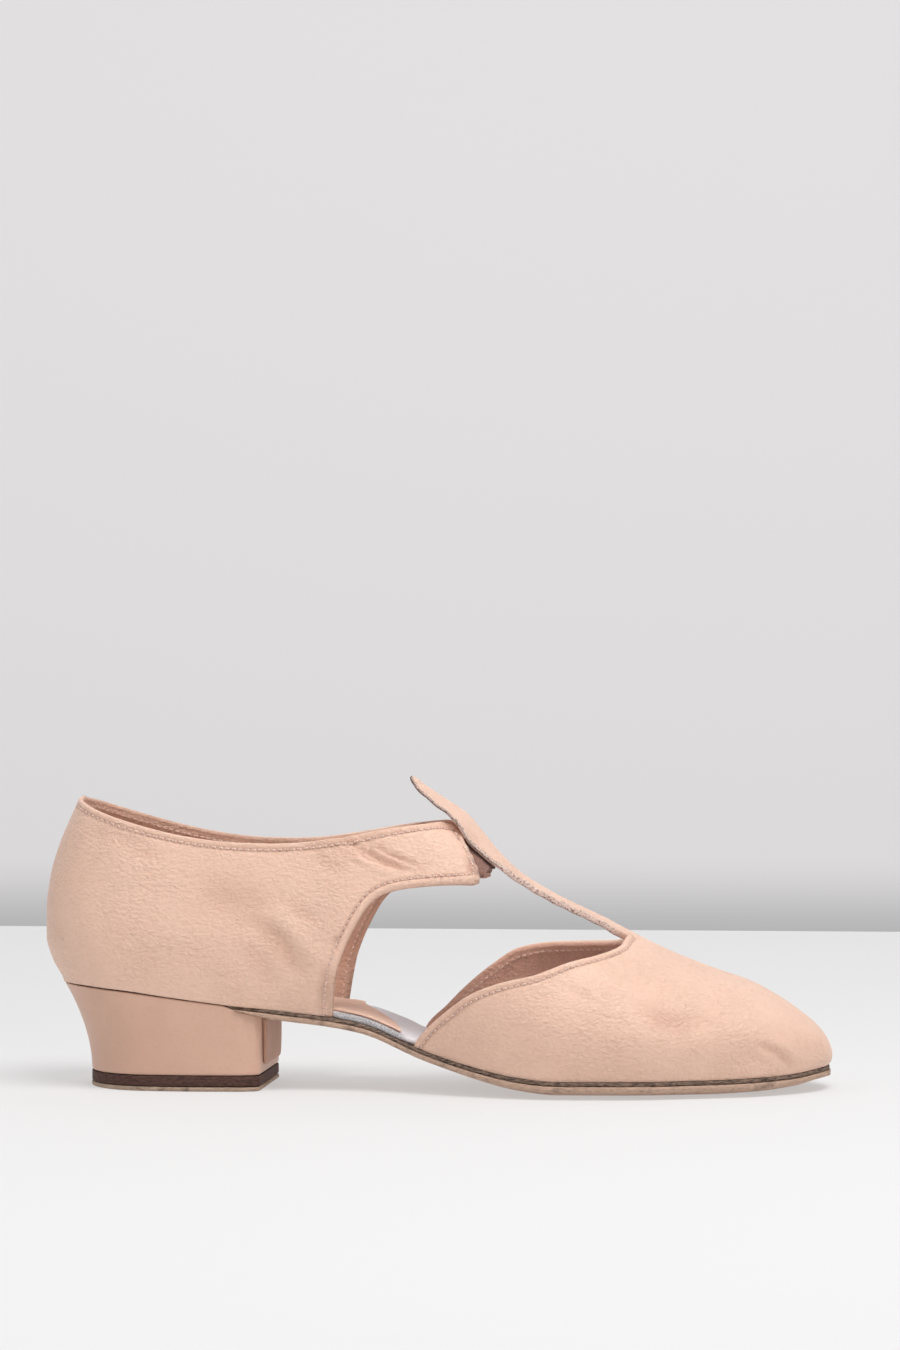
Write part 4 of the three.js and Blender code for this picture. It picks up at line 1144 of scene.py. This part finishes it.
def skived(at):
    """The outsole's thickness: pared thin where it is lapped under the heel."""
    run = np.clip((at - outsole_from) * sole_length / lap_run, 0, 1)
    return outsole_thickness * (lap_share + (full_share - lap_share) * run ** 0.8)


lap_stations = outsole_from + 0.05 * np.linspace(0, 1, 24)[:-1]
outsole_stations = np.concatenate([lap_stations, toe_eased(outsole_from + 0.05, 1.0, 150)])
outsole_thick = skived(outsole_stations)
outsole = layer(
    "leather_outsole", outsole_stations, edge=0.6, rise=outsole_edge - outsole_thick,
    thickness=outsole_thick, rounding=0.5, across_rows=rounded_rows(25), rough=0.08)
outsole.data.materials.append(
    layered_edge("sole_leather", (0.62, 0.43, 0.325, 1), (0.46, 0.305, 0.225, 1), 0.5))
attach(outsole, "root")
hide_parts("outsole")

# HEEL. A wood block covered in the upper's peach leather, its back raked and hollow; the cover wraps round
# the front corners onto the breast and ends there in a fold line beside the flap.
heel_rake = 8.9
heel_taper = 0.07
corner_radius = 3.5
heel_inset = 0.4
lift_thickness = 3.0
heel_tip_thickness = 1.5
lift_top = heel_tip_thickness + seam_gap + lift_thickness
heel_bottom = lift_top + seam_gap
back_edge = last_point(0.0, -1.0)[0]


def heel_outline(down, grow):
    """The heel seen from above, from its outer front corner round the back to its inner front corner."""
    rake = heel_rake * (1 - (1 - down) ** 1.9)
    squeeze = (heel_breast - back_edge - rake) / (heel_breast - back_edge)
    t = np.linspace(0, 1, 60)
    at = heel_breast / sole_length * (1 - np.sin(t * np.pi / 2))
    halves = []
    for side in (-1, 1):
        edge = feather_edge(at, side, grow - heel_inset)
        forward = np.clip((heel_breast - edge[:, 0]) / (heel_breast - back_edge), 0, 1)
        line = np.stack([heel_breast - (heel_breast - edge[:, 0]) * squeeze,
                         edge[:, 1] * (1 - heel_taper * down * forward)], axis=-1)
        turn = np.linspace(0, np.pi / 2, 10)
        bend = np.stack([heel_breast + grow - corner_radius * (1 - np.cos(turn)),
                         line[0, 1] - side * corner_radius * (1 - np.sin(turn))], axis=-1)
        flat = np.stack([np.full(9, heel_breast + grow), np.linspace(0, bend[0, 1], 10)[:-1]], axis=-1)
        line = np.concatenate([flat, bend, line[line[:, 0] < heel_breast - 1.25 * corner_radius]])
        halves.append(resampled(line, np.linspace(0, 1, 90)))
    return np.concatenate([halves[0], halves[1][::-1][1:]])


def ring_solid(name, outlines, heights):
    """A closed solid from rings seen from above; each ring has its own heights. The ends are closed flat."""
    count_ring = len(outlines[0])
    points = []
    for outline, height in zip(outlines, heights):
        points += [(p[0], p[1], h) for p, h in zip(outline, np.broadcast_to(height, count_ring))]
    faces = []
    for ring in range(len(outlines) - 1):
        for k in range(count_ring):
            ahead = (k + 1) % count_ring
            low_ring, high_ring = ring * count_ring, (ring + 1) * count_ring
            faces.append((low_ring + k, low_ring + ahead, high_ring + ahead, high_ring + k))
    last_ring = (len(outlines) - 1) * count_ring
    for k in range((count_ring - 1) // 2):
        far = count_ring - 1 - k
        if far - 1 > k + 1:
            faces.append((far, far - 1, k + 1, k))
            faces.append((last_ring + k, last_ring + k + 1, last_ring + far - 1, last_ring + far))
    piece = finish_mesh(name, mesh_of(name, np.array(points), [], faces))
    for face in piece.data.polygons:
        face.use_smooth = len(face.vertices) == 4 and abs(face.normal.z) < 0.9
    return piece


def seat_under(outline, lip):
    """Top of the heel's cover: it stands up round the midsole, and in front lies under the outsole's lap."""
    x = outline[:, 0]
    lapped = outsole_edge - skived(x / sole_length) - 0.06
    share = np.clip((x - outsole_from * sole_length + 4) / 5, 0, 1)
    share = share * share * (3 - 2 * share)
    return tread_height(x, 1.0) + lip * (1 - share) + np.minimum(lip, lapped) * share


# Rings of the heel from the seat to the lift: share of the way down, growth, and rise of the cover's lip.
heel_down = [0, 0, 0, 0.004, 0.012, 0.022, *np.linspace(0.04, 0.96, 22), 0.98, 0.993, 1]
heel_grow = [-1.5, -1, -0.4, -0.12, 0.02, 0.04, *np.linspace(0.04, 0, 22), -0.04, -0.2, -0.5]
heel_lips = [1.45, 1.9, 2.45, *np.full(28, 2.5)]
heel_middle = 0.4
fold_line = 18.9
fold_width = 0.45
fold_depth = 0.5
heel_outlines = [heel_outline(down, grow) for down, grow in zip(heel_down, heel_grow)]
for outline in heel_outlines:
    on_breast = np.abs(outline[:, 0] - heel_breast) < 0.6
    groove = np.exp(-((np.abs(outline[:, 1] - heel_middle) - fold_line) / fold_width) ** 2)
    outline[:, 0] -= np.where(on_breast, fold_depth * groove, 0)
heel_heights = [
    heel_bottom + (seat_under(outline, lip) - heel_bottom) * (1 - down)
    for outline, down, lip in zip(heel_outlines, heel_down, heel_lips)
]
heel_block = ring_solid("covered_heel", heel_outlines, heel_heights)
cover = Finish("heel_cover", Specular_IOR_Level=0.45, Subsurface_Weight=0.05, Subsurface_Scale=0.002,
               Sheen_Weight=0.1)
tight = cover.cells(1250.0)
cover_fine = cover.noise(2500.0, 3.0)
cover_broad = cover.noise(45.0, 3.0)
# The cover is the upper's peach leather, but it is coloured much darker than the upper: painted shade, as the
# heel stands in shade under the shoe.
cover_shaded_colour = cover.mix(cover_broad.above(0.35, 0.65), (0.690, 0.435, 0.325, 1), (0.650, 0.402, 0.296, 1))
# Darker in the grooves between the grain's cells: painted shade.
cover_shaded_colour = cover.mix(tight.above(0.4, 0.8) * 0.2, cover_shaded_colour, (0.56, 0.32, 0.22, 1))
heel_block.data.materials.append(
    cover.done(cover_shaded_colour, tight * 0.1 + 0.42, (1.0 - tight) * 0.5 + cover_fine * 0.3, 0.00022, 0.5))
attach(heel_block, "root")
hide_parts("heel_block")

# HEEL BREAST FLAP. A flap of leather, a little darker than the cover, glued on the heel's front face down
# to just above the lift. Like the cover's, its darker colour is painted shade.
breast_flap_thickness = 1.2
flap_half_width = 16
flap_corner = 3
flap_low_z = lift_top + flap_corner
flap_high_z = tread_height(heel_breast + seam_gap + breast_flap_thickness, 0.0) - seam_gap
flap_z = np.concatenate([[0, 0.01, 0.03, 0.06, 0.1], np.linspace(0.15, 1, 14)])
flap_t = np.concatenate([[-1, -0.985, -0.95], np.linspace(-0.9, 0.9, 19), [0.95, 0.985, 1]])
flap_height = flap_low_z + (flap_high_z - flap_low_z) * flap_z
flap_turn = np.clip(1 - (flap_height - flap_low_z) / flap_corner, 0, 1)
flap_half = flap_half_width + flap_z - flap_corner * (1 - np.sqrt(1 - flap_turn ** 2))


def flap_face(x, sink):
    y = flap_t[:, None] * flap_half[None, :]
    bow = 0.15 * np.sin(flap_z * np.pi)[None, :]
    return np.stack([x + bow + sink, y, flap_height[None, :] + 0 * y], axis=-1)


flap_back = heel_breast + seam_gap
flap_skin = flap_face(flap_back + breast_flap_thickness, 0.0 * flap_t[:, None])
flap_edges = (flap_skin[0], flap_skin[-1], flap_skin[:, 0])
flap_gap = np.min([edge_distance(flap_skin, edge) for edge in flap_edges], axis=0)
flap_round = rolled(flap_gap, breast_flap_thickness, 0.5)
flap = sheet("breast_flap", flap_face(flap_back + breast_flap_thickness - 0.15, -flap_round),
             flap_face(flap_back - 0.25, flap_round * 0.5))
# Its colours are darkened as painted shade, like the cover's.
flap.data.materials.append(
    lining_leather("breast_leather", (0.66, 0.40, 0.295, 1), (0.54, 0.32, 0.232, 1)))
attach(flap, "root")
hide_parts("heel_breast_flap")

# HEEL LIFT. A dark brown lift of stacked leather under the block, cut flush with it, its edges a little
# rubbed.
lift_rings = [heel_outline(1.0, grow) for grow in (-0.35, -0.08, 0.02, 0.02, -0.08, -0.35)]
lift_base = heel_tip_thickness + 0.12
lift_z = [lift_base, lift_base + 0.1, lift_base + 0.35, lift_top - 0.25, lift_top + 0.02, lift_top + 0.12]
lift = ring_solid("stacked_lift", lift_rings, lift_z)
lift.data.materials.append(
    layered_edge("heel_lift", (0.125, 0.058, 0.045, 1), (0.048, 0.022, 0.017, 1), 0.3))
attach(lift, "root")
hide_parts("heel_lift")

# TOP PIECE. A thin tan leather piece under the lift, on which the heel stands, with a thin dark line between
# the two.
tip_rings = [heel_outline(1.0, grow) for grow in (-0.5, -0.12, 0.08, 0.08, -0.1, -0.4)]
tip_z = [0, 0.12, 0.4, 1.05, 1.32, 1.44]
heel_tip = ring_solid("top_piece", tip_rings, tip_z)
heel_tip.data.materials.append(
    layered_edge("heel_tip_leather", (0.50, 0.37, 0.275, 1), (0.38, 0.27, 0.20, 1), 0.6))
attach(heel_tip, "root")
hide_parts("heel_tip")

# STUDIO. A white table and a pale grey wall well behind it, lit by large soft lamps from above, from the
# front and from the left. The table's back edge is the line behind the shoe.


def plane(name, corners, near, far, axis, start, end):
    """A sheet of paper that shades from one tone to another along an axis, and glows as if evenly lit."""
    mesh = bpy.data.meshes.new(name)
    mesh.from_pydata(corners, [], [(0, 1, 2, 3)])
    made = placed(name, mesh)
    paper = Finish(name, Specular_IOR_Level=0.1, Emission_Strength=1.0)
    split = paper.node("ShaderNodeSeparateXYZ", {}, {"Vector": paper.place}, axis)
    tone = paper.mix(split.above(start, end), near, far)
    tone = paper.mix(paper.noise(900.0, 2.0) * 0.02, tone, (0.5, 0.5, 0.5, 1))
    paper.wire(tone, "Emission Color")
    mesh.materials.append(paper.done(tone, 0.8))


plane("floor", [(-6, -6, 0), (6, -6, 0), (6, 0.77, 0), (-6, 0.77, 0)],
      near=(0.415, 0.415, 0.417, 1), far=(0.440, 0.439, 0.440, 1), axis="Y", start=0.1, end=0.8)
# The wall darkens towards its foot behind the table's edge: painted shade where wall and table meet.
plane("wall", [(-6, 1.5, -1), (6, 1.5, -1), (6, 1.5, 4), (-6, 1.5, 4)],
      near=(0.30, 0.298, 0.30, 1), far=(0.475, 0.467, 0.470, 1), axis="Z", start=-0.057, end=0.006)


def lamp(name, place, target, size, power, colour):
    light = bpy.data.lights.new(name, "AREA")
    light.shape = "RECTANGLE"
    light.size, light.size_y = size
    light.energy = power
    light.color = colour
    made = placed(name, light)
    made.location = place
    made.rotation_mode = "QUATERNION"
    made.rotation_quaternion = (Vector(target) - Vector(place)).to_track_quat("-Z", "Y")


lamp("top", place=(0.30, -0.38, 1.05), target=(0.03, 0, 0.03), size=(0.7, 0.55), power=9.3,
     colour=(1.0, 0.985, 0.97))
lamp("front", place=(1.0, -1.5, 0.6), target=(0, 0, 0.05), size=(1.4, 1.0), power=3.5,
     colour=(1.0, 0.98, 0.97))
lamp("left", place=(-1.0, -0.7, 1.0), target=(0, 0, 0.05), size=(0.8, 0.8), power=2.6,
     colour=(1.0, 0.99, 0.98))
world = bpy.data.worlds.new("studio")
bpy.context.scene.world = world
world.use_nodes = True
sky = world.node_tree.nodes["Background"]
sky.inputs["Color"].default_value = (0.93, 0.93, 0.94, 1)
sky.inputs["Strength"].default_value = 0.33
bpy.context.scene.view_settings.view_transform = "Standard"

# CAMERA. A long lens held level a little above the shoe, turned slightly towards the toe. At the shoe's
# distance the picture is 432 mm high.
camera_turn = np.radians(5.8)
camera_distance = 1.25
camera_height = 0.1315
picture_height = 0.432
sensor_width = 36
camera_data = bpy.data.cameras.new("camera")
camera_data.sensor_width = sensor_width
camera_data.lens = sensor_width * camera_distance / picture_height
camera = placed("camera", camera_data)
sight = Vector((-np.sin(camera_turn), np.cos(camera_turn), 0))
target = Vector((0.0046, 0.0004, camera_height))
camera.location = target - sight * camera_distance
camera.rotation_mode = "QUATERNION"
camera.rotation_quaternion = sight.to_track_quat("-Z", "Y")
bpy.context.scene.camera = camera
